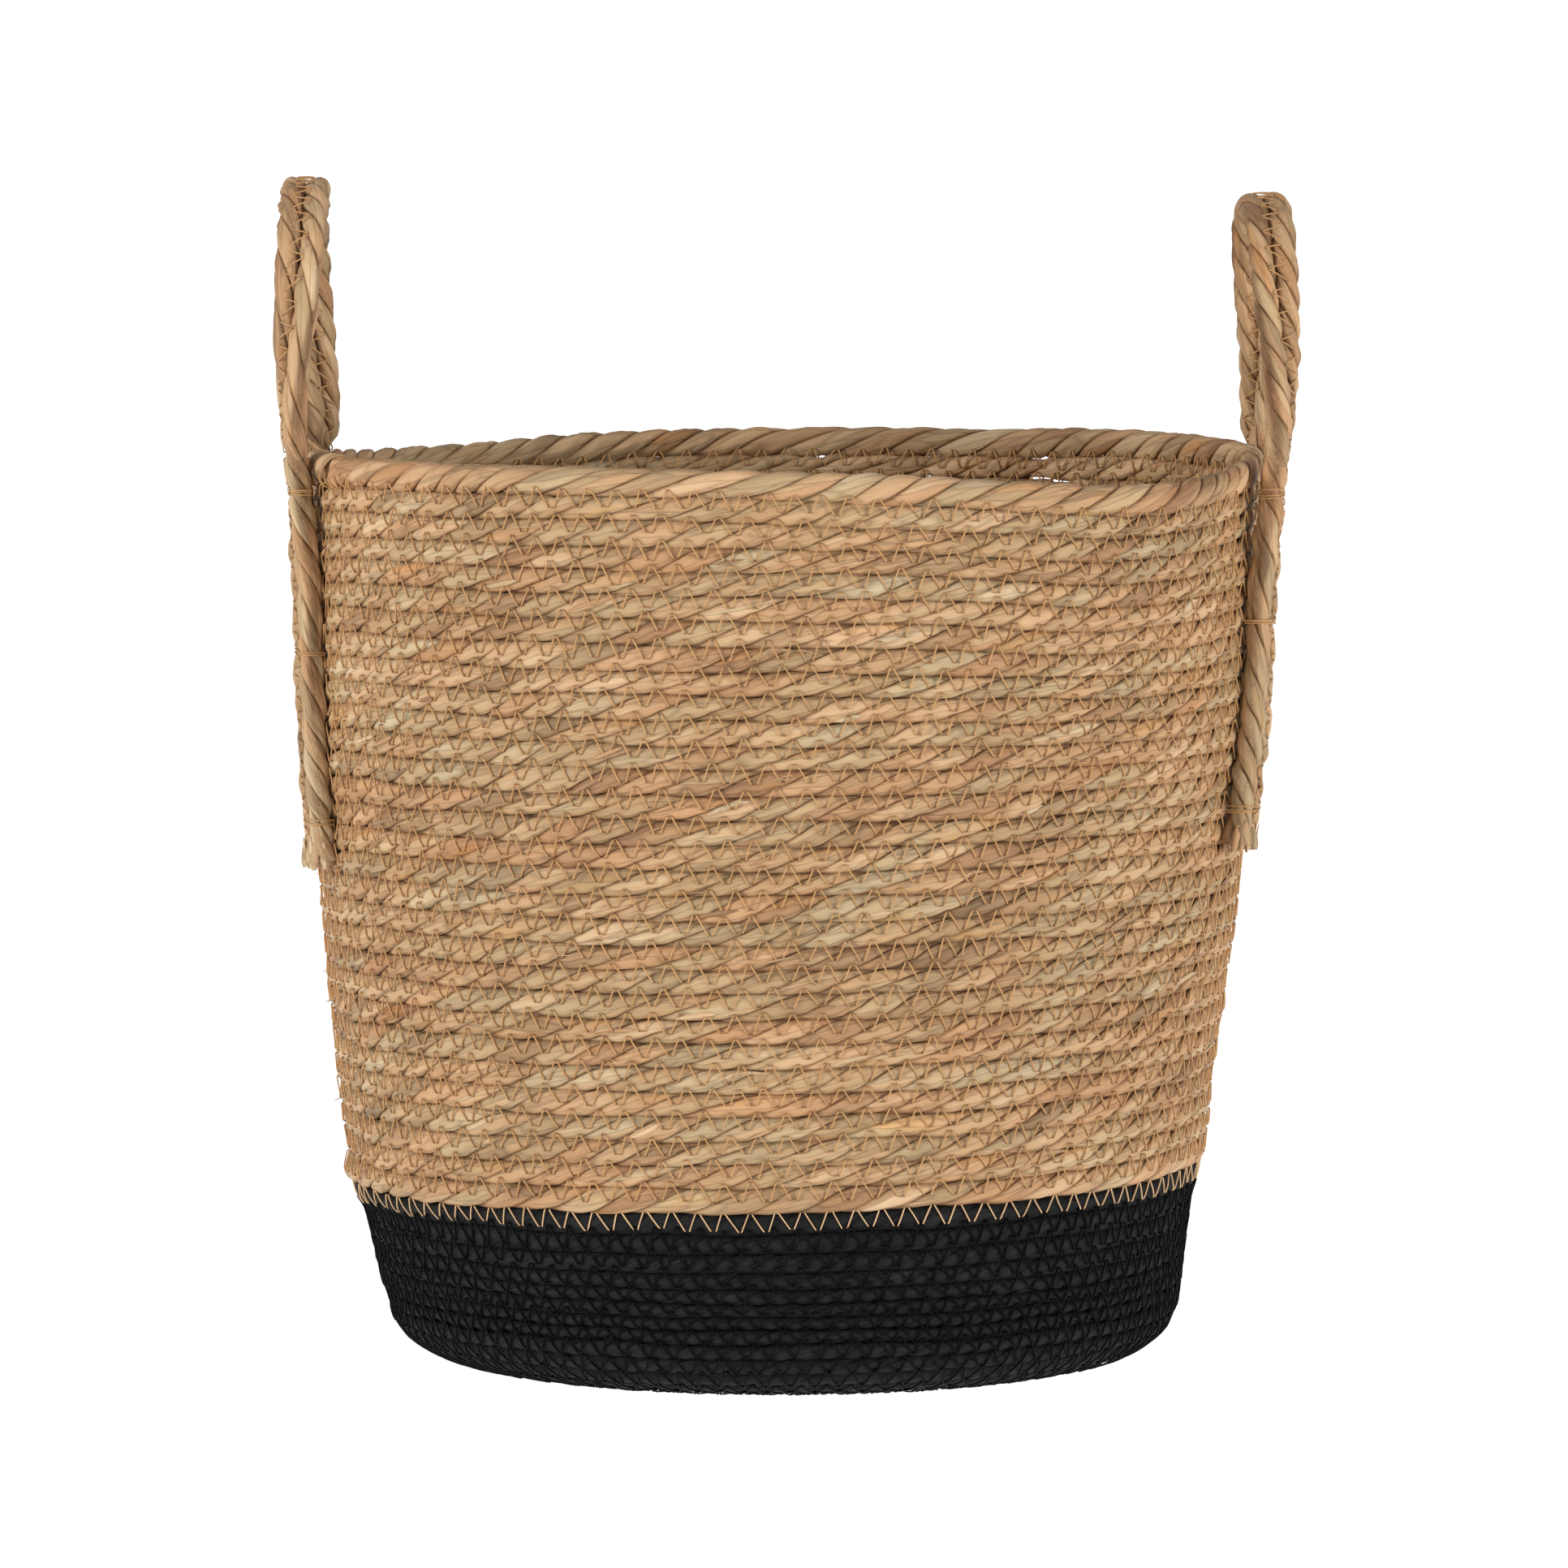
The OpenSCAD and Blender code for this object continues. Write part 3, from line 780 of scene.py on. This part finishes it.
# each look is a material and the slot that it stands for
LEAF = (leaf_material("natural_leaf_rope"), "natural_rope")
CHARCOAL = (dark_material("charcoal_rope"), "black_rope")
THREAD = (thread_material("brown_thread", (150, 102, 52), (190, 139, 82), (218, 174, 118), 0.45, 0.4),
          "brown_thread")
PALE = (thread_material("pale_thread", (186, 142, 92), (216, 174, 124), (236, 202, 158), 0.5, 0.35),
        "brown_thread")
BLACK = (thread_material("black_thread", (3, 3, 4), (6, 6, 7), (10, 10, 11), 0.75, 0.1, 0.0), "black_thread")


# ---------------- the wall
def course_rope(kind, name, turns, step, look, node, seam, deep, end_taper):
    """One stretch of the coiled rope, between two turns. end_taper says which of its ends grow thin."""
    rope, helix = kind
    s = np.arange(helix.arc(turns[0]), helix.arc(turns[1]) + step, step)
    s = np.minimum(s, helix.arc(turns[1]))
    t = helix.turn_at(s)
    low, top = rise(t), helix.top(t)
    r, z, nr, nz = helix.line((low + top) / 2)
    leak = 1.5 * smooth(3.2 * wander(s, rope.seed + 19, 8) - 1.9) * smooth((t - 25.5) / 1.5)
    b = helix.half_height(t, 0.25) - leak
    a = helix.half * smooth(b / 3.4) + 0.15
    ends = np.ones(len(s))
    for tapers, run in zip(end_taper, (s - s[0], s[-1] - s)):
        if tapers:
            ends *= 0.25 + 0.75 * smooth(run / 14)
    rings, values = rope.skin(at_turn(t, r, z), at_turn(t, nr, nz), s, a * ends, b * ends,
                              pinch_of(t, seam, deep))
    make = Builder()
    make.tube(rings, **values)
    make.make(name, look, [node])


GROUP_ENDS = [-0.03, 3.9, 7.9, 11.9, 15.9, 19.9, 23.9, 26.9, NATURAL_TURNS + 0.085]
for k, (first, last) in enumerate(zip(GROUP_ENDS[:-1], GROUP_ENDS[1:])):
    course_rope(ROPE_KIND, f"natural_courses_{k + 1}", (first, last), 2.5, LEAF, "natural_wall_coil",
                NATURAL_SEAM, 0.75, (k == 0, k == 7))
for first, last, name, node in [(-DARK_TURNS, BASE_TURN, "dark_base_spiral", "base_coil"),
                                (BASE_TURN, -5.1, "dark_courses_low", "black_wall_coil"),
                                (-5.1, 0.045, "dark_courses_high", "black_wall_coil")]:
    course_rope(DARK_KIND, name, (first, last), 2.35, CHARCOAL, node, DARK_SEAM, 0.8,
                (first == -DARK_TURNS, last > 0))


def thread_piece(name, seam, turns, radius, look, node, proud=0.95):
    make = Builder()
    for side, points in ((1, 7), (-1, 4)):
        for path, out, size, shade in stitches(seam, *turns, radius, side, points, proud):
            thread_tubes(make, path, out, size, shade)
    make.make(name, look, [node])


for k, turns in enumerate([(1.0, 8.9), (8.9, 15.9), (15.9, 22.9), (22.9, NATURAL_TURNS + 0.985)]):
    thread_piece(f"wall_stitches_{k + 1}", NATURAL_SEAM, turns, 0.37, THREAD, "natural_seam_thread")
thread_piece("join_stitches", JOIN_SEAM, (0.02, 1.0), 0.33, PALE, "join_seam_thread")
for name, turns, node in [("band_stitches_high", (-5.5, 0.0), "black_seam_thread"),
                          ("band_stitches_low", (BASE_TURN, -5.5), "black_seam_thread"),
                          ("base_stitches_outer", (-17.0, BASE_TURN), "base_seam_thread"),
                          ("base_stitches_inner", (-DARK_TURNS + 1.5, -17.0), "base_seam_thread")]:
    thread_piece(name, DARK_SEAM, turns, 0.48, BLACK, node, 0.9 if "band" in name else 0.2)


# ---------------- the rim
def rim_piece():
    """One rope round the top. Its thick end shows at the front left, and its other end tucks away inside."""
    start, sweep = 199.0, 366.0
    length = math.radians(sweep) * RIM_R
    s = np.arange(0, length, 2.0)
    az = np.radians(start) + s / RIM_R
    head = 1 - smooth(s / 9)
    knob = np.exp(-((s - 13) / 9) ** 2)
    tail = 1 - smooth((length - s) / 34)
    r = RIM_R + 0.6 + 0.5 * wander(s, 61, 90) + 0.8 * knob - 0.6 * head - 3.5 * tail
    z = RIM_Z - 0.5 + 0.4 * wander(s, 62, 70) - 0.8 * knob - 2.5 * head - 2.0 * tail
    size = RIM_ROPE_R * (0.97 + 0.05 * wander(s, 63, 45) + 0.12 * knob)
    size = size * (1 - 0.6 * head) * (1 - 0.35 * tail)
    rings, values = RIM.skin(at_azimuth(az, r, z), at_azimuth(az, 1.0, 0.0), s, size, size + 0.6)
    make = Builder()
    make.tube(rings, **values)
    make.make("rim_rope_twisted", LEAF, ["rim_rope"])


def leaf(make, path, out, width, tone, hue, seed, thick=0.3, taper=(0.3, 0.3)):
    """Adds one flat strip of leaf along a path: width in millimetres, narrower towards its ends."""
    _, normal, across = frames(path, out)
    w = np.linspace(0, 1, len(path))
    wide = width / 2 * np.minimum(taper[0] + (1 - taper[0]) * smooth(w * 4),
                                  taper[1] + (1 - taper[1]) * smooth((1 - w) * 4))
    a = TAU * np.arange(6) / 6
    curl = 0.25 * wide[:, None] * np.sin(a) ** 2
    rings = (path[:, None] + (thick * np.cos(a) - curl)[..., None] * normal[:, None]
             + (wide[:, None] * np.sin(a))[..., None] * across[:, None])
    s = length_along(path)[:, None]
    shape = 0 * s + 0 * a
    lay = np.stack([s + shape + 50 * seed, wide[:, None] * np.sin(a), shape + seed], -1)
    make.tube(rings, lay=lay, tone=shape + tone, hue=shape + hue, crease=shape)


def over_rim(a, az, lift, out_by, down_by):
    """A path round the rim's rope, at angles a and lift off its middle, and its outward directions."""
    path = at_azimuth(az, RIM_R + out_by + lift * np.cos(a), RIM_Z - down_by + lift * np.sin(a))
    return path, at_azimuth(az, np.cos(a), np.sin(a))


def splice():
    """Leaf ends folded over the rim where its ends meet, at the front left, and threads round them."""
    make = Builder()
    for k in range(9):
        rough = np.random.default_rng(700 + k)
        az = math.radians(191.0 + 1.15 * k + rough.uniform(-0.4, 0.4))
        a = np.radians(np.linspace(rough.uniform(150, 190), rough.uniform(-50, -15), 12))
        at = az + rough.uniform(0.02, 0.05) * np.linspace(1, -1, 12)
        path, out = over_rim(a, at, RIM_ROPE_R + 0.5 + 0.15 * (k % 3), 0.6, 0.4)
        leaf(make, path, out, rough.uniform(4.0, 6.5), rough.uniform(0.35, 0.9), rough.uniform(0.2, 0.75), k)
    make.make("rim_splice_leaves", LEAF)

    make = Builder()
    rough = np.random.default_rng(760)
    w = np.linspace(0, 1, 7)
    lift = RIM_ROPE_R + 1.2 - 0.9 * np.abs(2 * w - 1) ** 3
    for _ in range(26):
        az = math.radians(rough.uniform(186, 207))
        a = np.radians(-72 + rough.uniform(40, 85) * w)
        path, out = over_rim(a, az + rough.uniform(-0.02, 0.02) * w, lift, 0.8, 1.5)
        thread_tubes(make, path[None], out[None], 0.34, np.ones(7))
    make.make("rim_splice_thread", THREAD)


rim_piece()
splice()


def wall_point(t, h, side, lift):
    """A point on the wall's skin: turn, height over the groove, side, and how far off the skin."""
    x = side * seam_surface(NATURAL_SEAM, t, h, side) + lift
    r, z, nr, nz = natural_line(rise(t) + h)
    return at_turn(t, r + side * x * nr, z + side * x * nz), side * at_turn(t, nr, nz)


def flakes():
    """Leaf tips that have come loose, and short fibres, all over the natural wall."""
    make = Builder()
    rough = np.random.default_rng(801)
    for k in range(230):
        side = 1 if k % 4 else -1
        t0 = rough.uniform(1.2, NATURAL_TURNS - 1.2)
        h0, slope = rough.uniform(0.6, 5.0), rough.uniform(0.12, 0.5)
        length = rough.uniform(7, 26)
        radius = float(natural_line(rise(t0))[0])
        w = np.linspace(0, 1, 9)
        h = np.clip(h0 + slope * length * w, 0.2, 9.2)
        loose = rough.uniform(0.1, 0.5) if k % 3 else rough.uniform(0.8, 2.2)
        lift = 0.15 + loose * (w ** 3 if k % 2 else (1 - w) ** 3)
        path, out = wall_point(t0 + length * w / (TAU * radius), h, side, lift)
        leaf(make, path, out, rough.uniform(0.9, 3.4), rough.uniform(0.1, 0.95), rough.uniform(0.3, 0.8), k,
             0.16, (0.15, 0.15))
    make.make("loose_leaf_tips", LEAF)

    make = Builder()
    for k in range(110):
        rough = np.random.default_rng(900 + k)
        t0, h0 = rough.uniform(1.2, NATURAL_TURNS - 0.6), rough.uniform(0.3, 9)
        w = np.linspace(0, 1, 8)
        length, reach = rough.uniform(4, 13), rough.uniform(0.5, 4.5)
        radius = float(natural_line(rise(t0))[0])
        along = rough.choice([-1, 1]) * length * w
        h = np.clip(h0 + rough.uniform(-4, 4) * w, 0.2, 9.4)
        path, out = wall_point(t0 + along / (TAU * radius), h, 1, 0.1 + reach * w ** 1.6)
        leaf(make, path, out, 0.32, rough.uniform(0.4, 1.0), rough.uniform(0.2, 0.8), k, 0.13, (0.7, 0.4))
    make.make("loose_fibres", LEAF)


flakes()


# ---------------- the handles
def strap_frame(s):
    """Middle of the right strap at length s along its loop, and its directions across and outward."""
    d = np.minimum(s, 2 * HALF_LOOP - s)
    side = np.where(s < HALF_LOOP, -1.0, 1.0)
    a = np.maximum(d - LEG_H, 0) / LEG_OFFSET
    x = FLEX_X + (CROWN_X - FLEX_X) * smooth(d / CROWN_RUN) + BOW * np.sin(math.pi * d / HALF_LOOP)
    z = FLEX_Z + np.minimum(d, LEG_H) + LEG_OFFSET * np.sin(a)
    middle = np.stack([x, side * LEG_OFFSET * np.cos(a), z], 1)
    out = np.stack([0 * a, side * np.cos(a), np.sin(a)], 1)
    lead = np.where(s < HALF_LOOP, TWIST_LEAD, TWIST_LEAD + 26 * (1 - smooth(d / HALF_LOOP)))
    turn = math.pi / 2 * (1 - smooth((d + lead) / (TWIST_LEN + TWIST_LEAD)))
    ex = np.array([1.0, 0, 0])
    c, n = np.cos(turn)[:, None], np.sin(turn)[:, None]
    return middle, -c * ex + n * out, n * ex + c * out


def tail_lift(z):
    """How far a leg has left the wall to reach over the rim, from 0 to 1."""
    return smooth((z - LIFT_Z) / (TAIL_TOP_Z - LIFT_Z))


def tail_frame(z, side, across):
    """The same for a leg at height z: a point beside its middle, and the directions outward and sideways.

    side is -1 for the front leg and 1 for the back leg.
    """
    y = LEG_OFFSET + across
    hug = np.sqrt((wall_r(z) + STRAP_R + STRAP_GAP) ** 2 - y ** 2)
    point = np.stack([hug + (FLEX_X - hug) * tail_lift(z), side * y + 0 * z, z], 1)
    yaw = LEG_YAW * (1 - tail_lift(z))
    out = np.stack([np.cos(yaw), side * np.sin(yaw), 0 * z], 1)
    return point, out, np.stack([-out[:, 1], out[:, 0], 0 * z], 1)


def strap_path(across, foot):
    """Points, outward directions and lengths up the front leg, over the loop and down the back leg."""
    up = np.arange(foot, TAIL_TOP_Z, 2.2)
    middle, cross, out = strap_frame(np.arange(0, 2 * HALF_LOOP, 2.2))
    front, back = tail_frame(up, -1, across), tail_frame(up[::-1], 1, across)
    path = np.concatenate([front[0], middle + across * cross, back[0]])
    return path, np.concatenate([front[1], out, back[1]]), length_along(path)


def read_at(at, s, values):
    """Points or directions that are given at the lengths s, read at the lengths at."""
    return np.stack([np.interp(at, s, values[:, c]) for c in range(3)], -1)


LEAN_Z = (330, 367, 394, 421, 448, 469, 496)


def loop_shape(v, stretch, back, swing, front_in, back_in):
    """Each handle's own shape, on top of the basket's.

    stretch is extra height. back, in degrees, moves the back half round the basket, and swing, in
    radians, the front foot. front_in and back_in say how far the halves lean in at the heights LEAN_Z.
    """
    v = handmade(v)
    x, y, z = v[:, 0], v[:, 1], v[:, 2]
    rear = smooth((y + 34) / 84)
    level = np.interp(z, LEAN_Z, back_in) * rear + np.interp(z, LEAN_Z, front_in) * (1 - rear)
    turn = np.sign(x) * math.radians(back) * rear * (1 - 0.6 * smooth((z - 400) / 80))
    turn = turn - np.sign(x) * swing * (1 - rear) * smooth((310 - z) / 100)
    c, n = np.cos(turn), np.sin(turn)
    return np.stack([x * c - y * n - np.sign(x) * level, x * n + y * c,
                     z + stretch * np.maximum(z - FLEX_Z, 0) / 104], 1)


class Handle:
    """One strap handle. base is "left" or "right", and shape holds the arguments of loop_shape."""

    def __init__(self, base, foot, seed, lashings, **shape):
        self.base, self.foot, self.seed, self.lashings, self.shape = base, foot, seed, lashings, shape
        hinge = MM * (-FLEX_X if base == "left" else FLEX_X)
        self.bend = ("basket", f"{base}_handle", (hinge, 0, BEND_Z[0]), (hinge, 0, BEND_Z[1]))
        self.flip = np.array([-1.0 if base == "left" else 1.0, 1, 1])

    def make(self, builder, part, look, nodes, bend=None):
        builder.make(f"{self.base}_handle_{part}", look, [f"{self.base}_{node}" for node in nodes],
                     lambda v: loop_shape(v, **self.shape), bend)

    def ropes(self):
        for label, across in (("inside", STRAP_R - 0.35), ("outside", 0.35 - STRAP_R)):
            inside = across > 0
            rope = Rope(3, 46.0, 1.35, self.seed + (7 if inside else 0), 15, crack=0.8, edge=0.8, leaf=0.5,
                        square=2.0, steep=0.0, phase=0.3 if inside else 0.8, loose=0.2)
            path, outs, s = strap_path(across, self.foot + (1.5 if inside else -1.0))
            z = path[:, 2]
            pull = sum(np.exp(-0.5 * ((z - at) / 2.6) ** 2) for at in self.lashings) * (z < 384)
            ends = 1 + 0.2 * (1 - smooth(np.minimum(s, s[-1] - s) / 12))
            size = (STRAP_R + 0.15) * (1 + 0.03 * wander(s, self.seed + 5, 40)) * ends
            rings, values = rope.skin(path * self.flip, outs * self.flip, s, size * (1 - 0.16 * pull),
                                      size * (1 - 0.08 * pull))
            make = Builder()
            make.tube(rings, **values)
            self.make(make, f"{label}_rope", LEAF,
                      [f"{part}_{label}_rope" for part in ("loop", "front_tail", "back_tail")], self.bend)

    def stitches(self):
        """The zigzag over the valley between the two ropes, on both faces."""
        make = Builder()
        path, outs, s = strap_path(0.0, self.foot + 9)
        cross = -frames(path, outs)[2]
        period = 9.0
        i = np.arange(int(s[-1] / period) - 1)
        wide, wider = [3.5 + 0.35 * chance(i + k, self.seed + 22) for k in (0, 1)]
        jitter = 0.06 * chance(i, self.seed + 23)
        marks = ((0 * jitter, 0.44 + jitter, -wide, wide), (0.52 + jitter, 0.74 + 0 * jitter, wide, -wider))
        w = np.array([[0, 0.06, 0.3, 0.5, 0.7, 0.94, 1.0]])
        for face in (1, -1):
            for w0, w1, y0, y1 in marks:
                at = ((i + w0)[:, None] * (1 - w) + (i + w1)[:, None] * w) * period
                y = y0[:, None] * (1 - w) + y1[:, None] * w
                x = np.sqrt(np.maximum(STRAP_R ** 2 - (STRAP_R - np.abs(y)) ** 2, 0))
                x = hull(x) + 0.2 + np.array([[-0.6, 0, 0.1, 0.15, 0.1, 0, -0.6]])
                oo, cc = unit(read_at(at, s, outs)), unit(read_at(at, s, cross))
                line = read_at(at, s, path) + y[..., None] * cc + face * x[..., None] * oo
                thread_tubes(make, line * self.flip, face * oo * self.flip, 0.32, [0.3, 1, 1, 1, 1, 1, 0.3])
        self.make(make, "strap_stitches", THREAD,
                  ["loop_thread", "front_tail_thread", "back_tail_thread"], self.bend)

    def ties(self):
        """The lashings: a few turns of thread that tie each leg to the wall."""
        make = Builder()
        w = np.linspace(-1, 1, 25)
        y = w * (2 * STRAP_R + 0.1)
        x = np.sqrt(np.maximum((STRAP_R * 0.86) ** 2 - (np.abs(y) - STRAP_R) ** 2, 0))
        x = np.where(np.abs(w) > 0.99, -STRAP_R * 0.9, hull(x[None, :])[0] + 0.25)
        for leg, side in enumerate((-1, 1)):
            for row, at in enumerate(self.lashings):
                for turn in range(3):
                    rough = np.random.default_rng(self.seed + 97 * leg + 31 * row + 7 * turn)
                    z = at + (turn - 1) * 0.9 + rough.uniform(-0.3, 0.3) + rough.uniform(-1.3, 1.3) * w
                    mid, ex, ey = tail_frame(z, side, 0.0)
                    line = mid + x[:, None] * ex + (side * y)[:, None] * ey
                    out = ex + (side * w * 0.9)[:, None] * ey
                    thread_tubes(make, (line * self.flip)[None], (out * self.flip)[None], 0.34,
                                 np.ones(25), 5)
        self.make(make, "lashings", THREAD, ["front_lashings", "back_lashings"])

    def feet(self):
        """Leaf ends that splay out at the cut feet of the legs."""
        make = Builder()
        rough = np.random.default_rng(self.seed + 60)
        w = np.linspace(0, 1, 8)
        for side in (-1, 1):
            for across in (STRAP_R, -STRAP_R):
                for k in range(8):
                    a = TAU * (k + rough.uniform(-0.3, 0.3)) / 8
                    z = self.foot + rough.uniform(7, 13) * (1 - w) - rough.uniform(0.3, 2.2) * w
                    mid, ex, ey = tail_frame(z, side, across)
                    reach = STRAP_R + 0.1 + rough.uniform(0.0, 1.6) * w ** 2
                    around = math.cos(a) * ex + math.sin(a) * ey
                    keep = np.where(math.cos(a) < -0.2, STRAP_R * 0.95, reach)[:, None]
                    leaf(make, (mid + keep * around) * self.flip, around * self.flip,
                         rough.uniform(2.4, 4.8), rough.uniform(0.3, 0.95), rough.uniform(0.25, 0.75),
                         k + 20 * side, 0.16, (0.2, 0.6))
        self.make(make, "frayed_feet", LEAF, [])


LEFT = Handle("left", 212.0, 400, (229.5, 299.0, 366.0), stretch=5.0, back=2.6, swing=0.012,
              front_in=(0.9, 3.2, 1.4, 1.3, 3.0, 4.3, 3.2), back_in=(0.0, 3.6, 5.2, 2.6, 1.0, 1.3, 2.6))
RIGHT = Handle("right", 220.0, 500, (235.5, 315.0, 370.0), stretch=-1.5, back=0.0, swing=0.056,
               front_in=(0.0, 1.2, -1.5, -1.6, 0.3, 1.6, 1.7), back_in=(0.0, 1.9, 3.7, 2.8, 4.4, 6.0, 5.0))
for handle in (LEFT, RIGHT):
    handle.ropes()
    handle.stitches()
    handle.ties()
    handle.feet()

# ---------------- floor, light and camera
FLOOR_R, FLOOR_Z, FLOOR_GLOW = 90.0, -0.0005, 1.04
STUDIO_LIGHT, WHITE_SHOWN = 0.48, 1.1         # the world's light on the basket, and the white behind it
AIM = (0, 0, 0.22)
CAMERA_AT, CAMERA_AIM, LENS = (0, -5.0, 0.625), (0, 0, 0.2411), 275.0

floor_mesh = bpy.data.meshes.new("floor")
ring = [(FLOOR_R * math.cos(TAU * k / 64), FLOOR_R * math.sin(TAU * k / 64), FLOOR_Z) for k in range(64)]
floor_mesh.from_pydata(ring, [], [list(range(64))])
floor = bpy.data.objects.new("floor", floor_mesh)
bpy.context.scene.collection.objects.link(floor)
mat, tree, bsdf = shader("pale_floor")
preset(bsdf, {"Base Color": grey(0.08), "Emission Color": grey(1), "Emission Strength": FLOOR_GLOW,
              "Roughness": 0.9, "Specular IOR Level": 0.1})
floor_mesh.materials.append(mat)

world = bpy.data.worlds.new("studio")
bpy.context.scene.world = world
world.use_nodes = True
tree = world.node_tree
background = tree.nodes["Background"]
background.inputs[0].default_value = grey(1)
seen = tree.nodes.new("ShaderNodeLightPath").outputs["Is Camera Ray"]
put(tree, background.inputs[1], maths(tree, "MULTIPLY_ADD", seen, WHITE_SHOWN - STUDIO_LIGHT, STUDIO_LIGHT))


def set_up(thing, at, aim):
    """Puts a lamp or a camera in its place and turns it to a point."""
    thing.location = at
    thing.rotation_mode = "QUATERNION"
    thing.rotation_quaternion = (Vector(aim) - Vector(at)).to_track_quat("-Z", "Y")
    bpy.context.scene.collection.objects.link(thing)


for name, at, size, watts in [("front_left", (-4.1, -3.0, 1.4), 1.8, 150),
                              ("front_right", (4.2, -2.8, 0.7), 2.0, 140)]:
    data = bpy.data.lights.new(name, "AREA")
    data.shape, data.size, data.energy = "DISK", size, watts
    lamp = bpy.data.objects.new(name, data)
    lamp.visible_camera = False
    set_up(lamp, at, AIM)

cam_data = bpy.data.cameras.new("photo_view")
cam_data.sensor_width = 36
cam_data.lens = LENS
cam_data.clip_end = 300
camera = bpy.data.objects.new("photo_view", cam_data)
set_up(camera, CAMERA_AT, CAMERA_AIM)
bpy.context.scene.camera = camera
bpy.context.scene.view_settings.view_transform = "Standard"
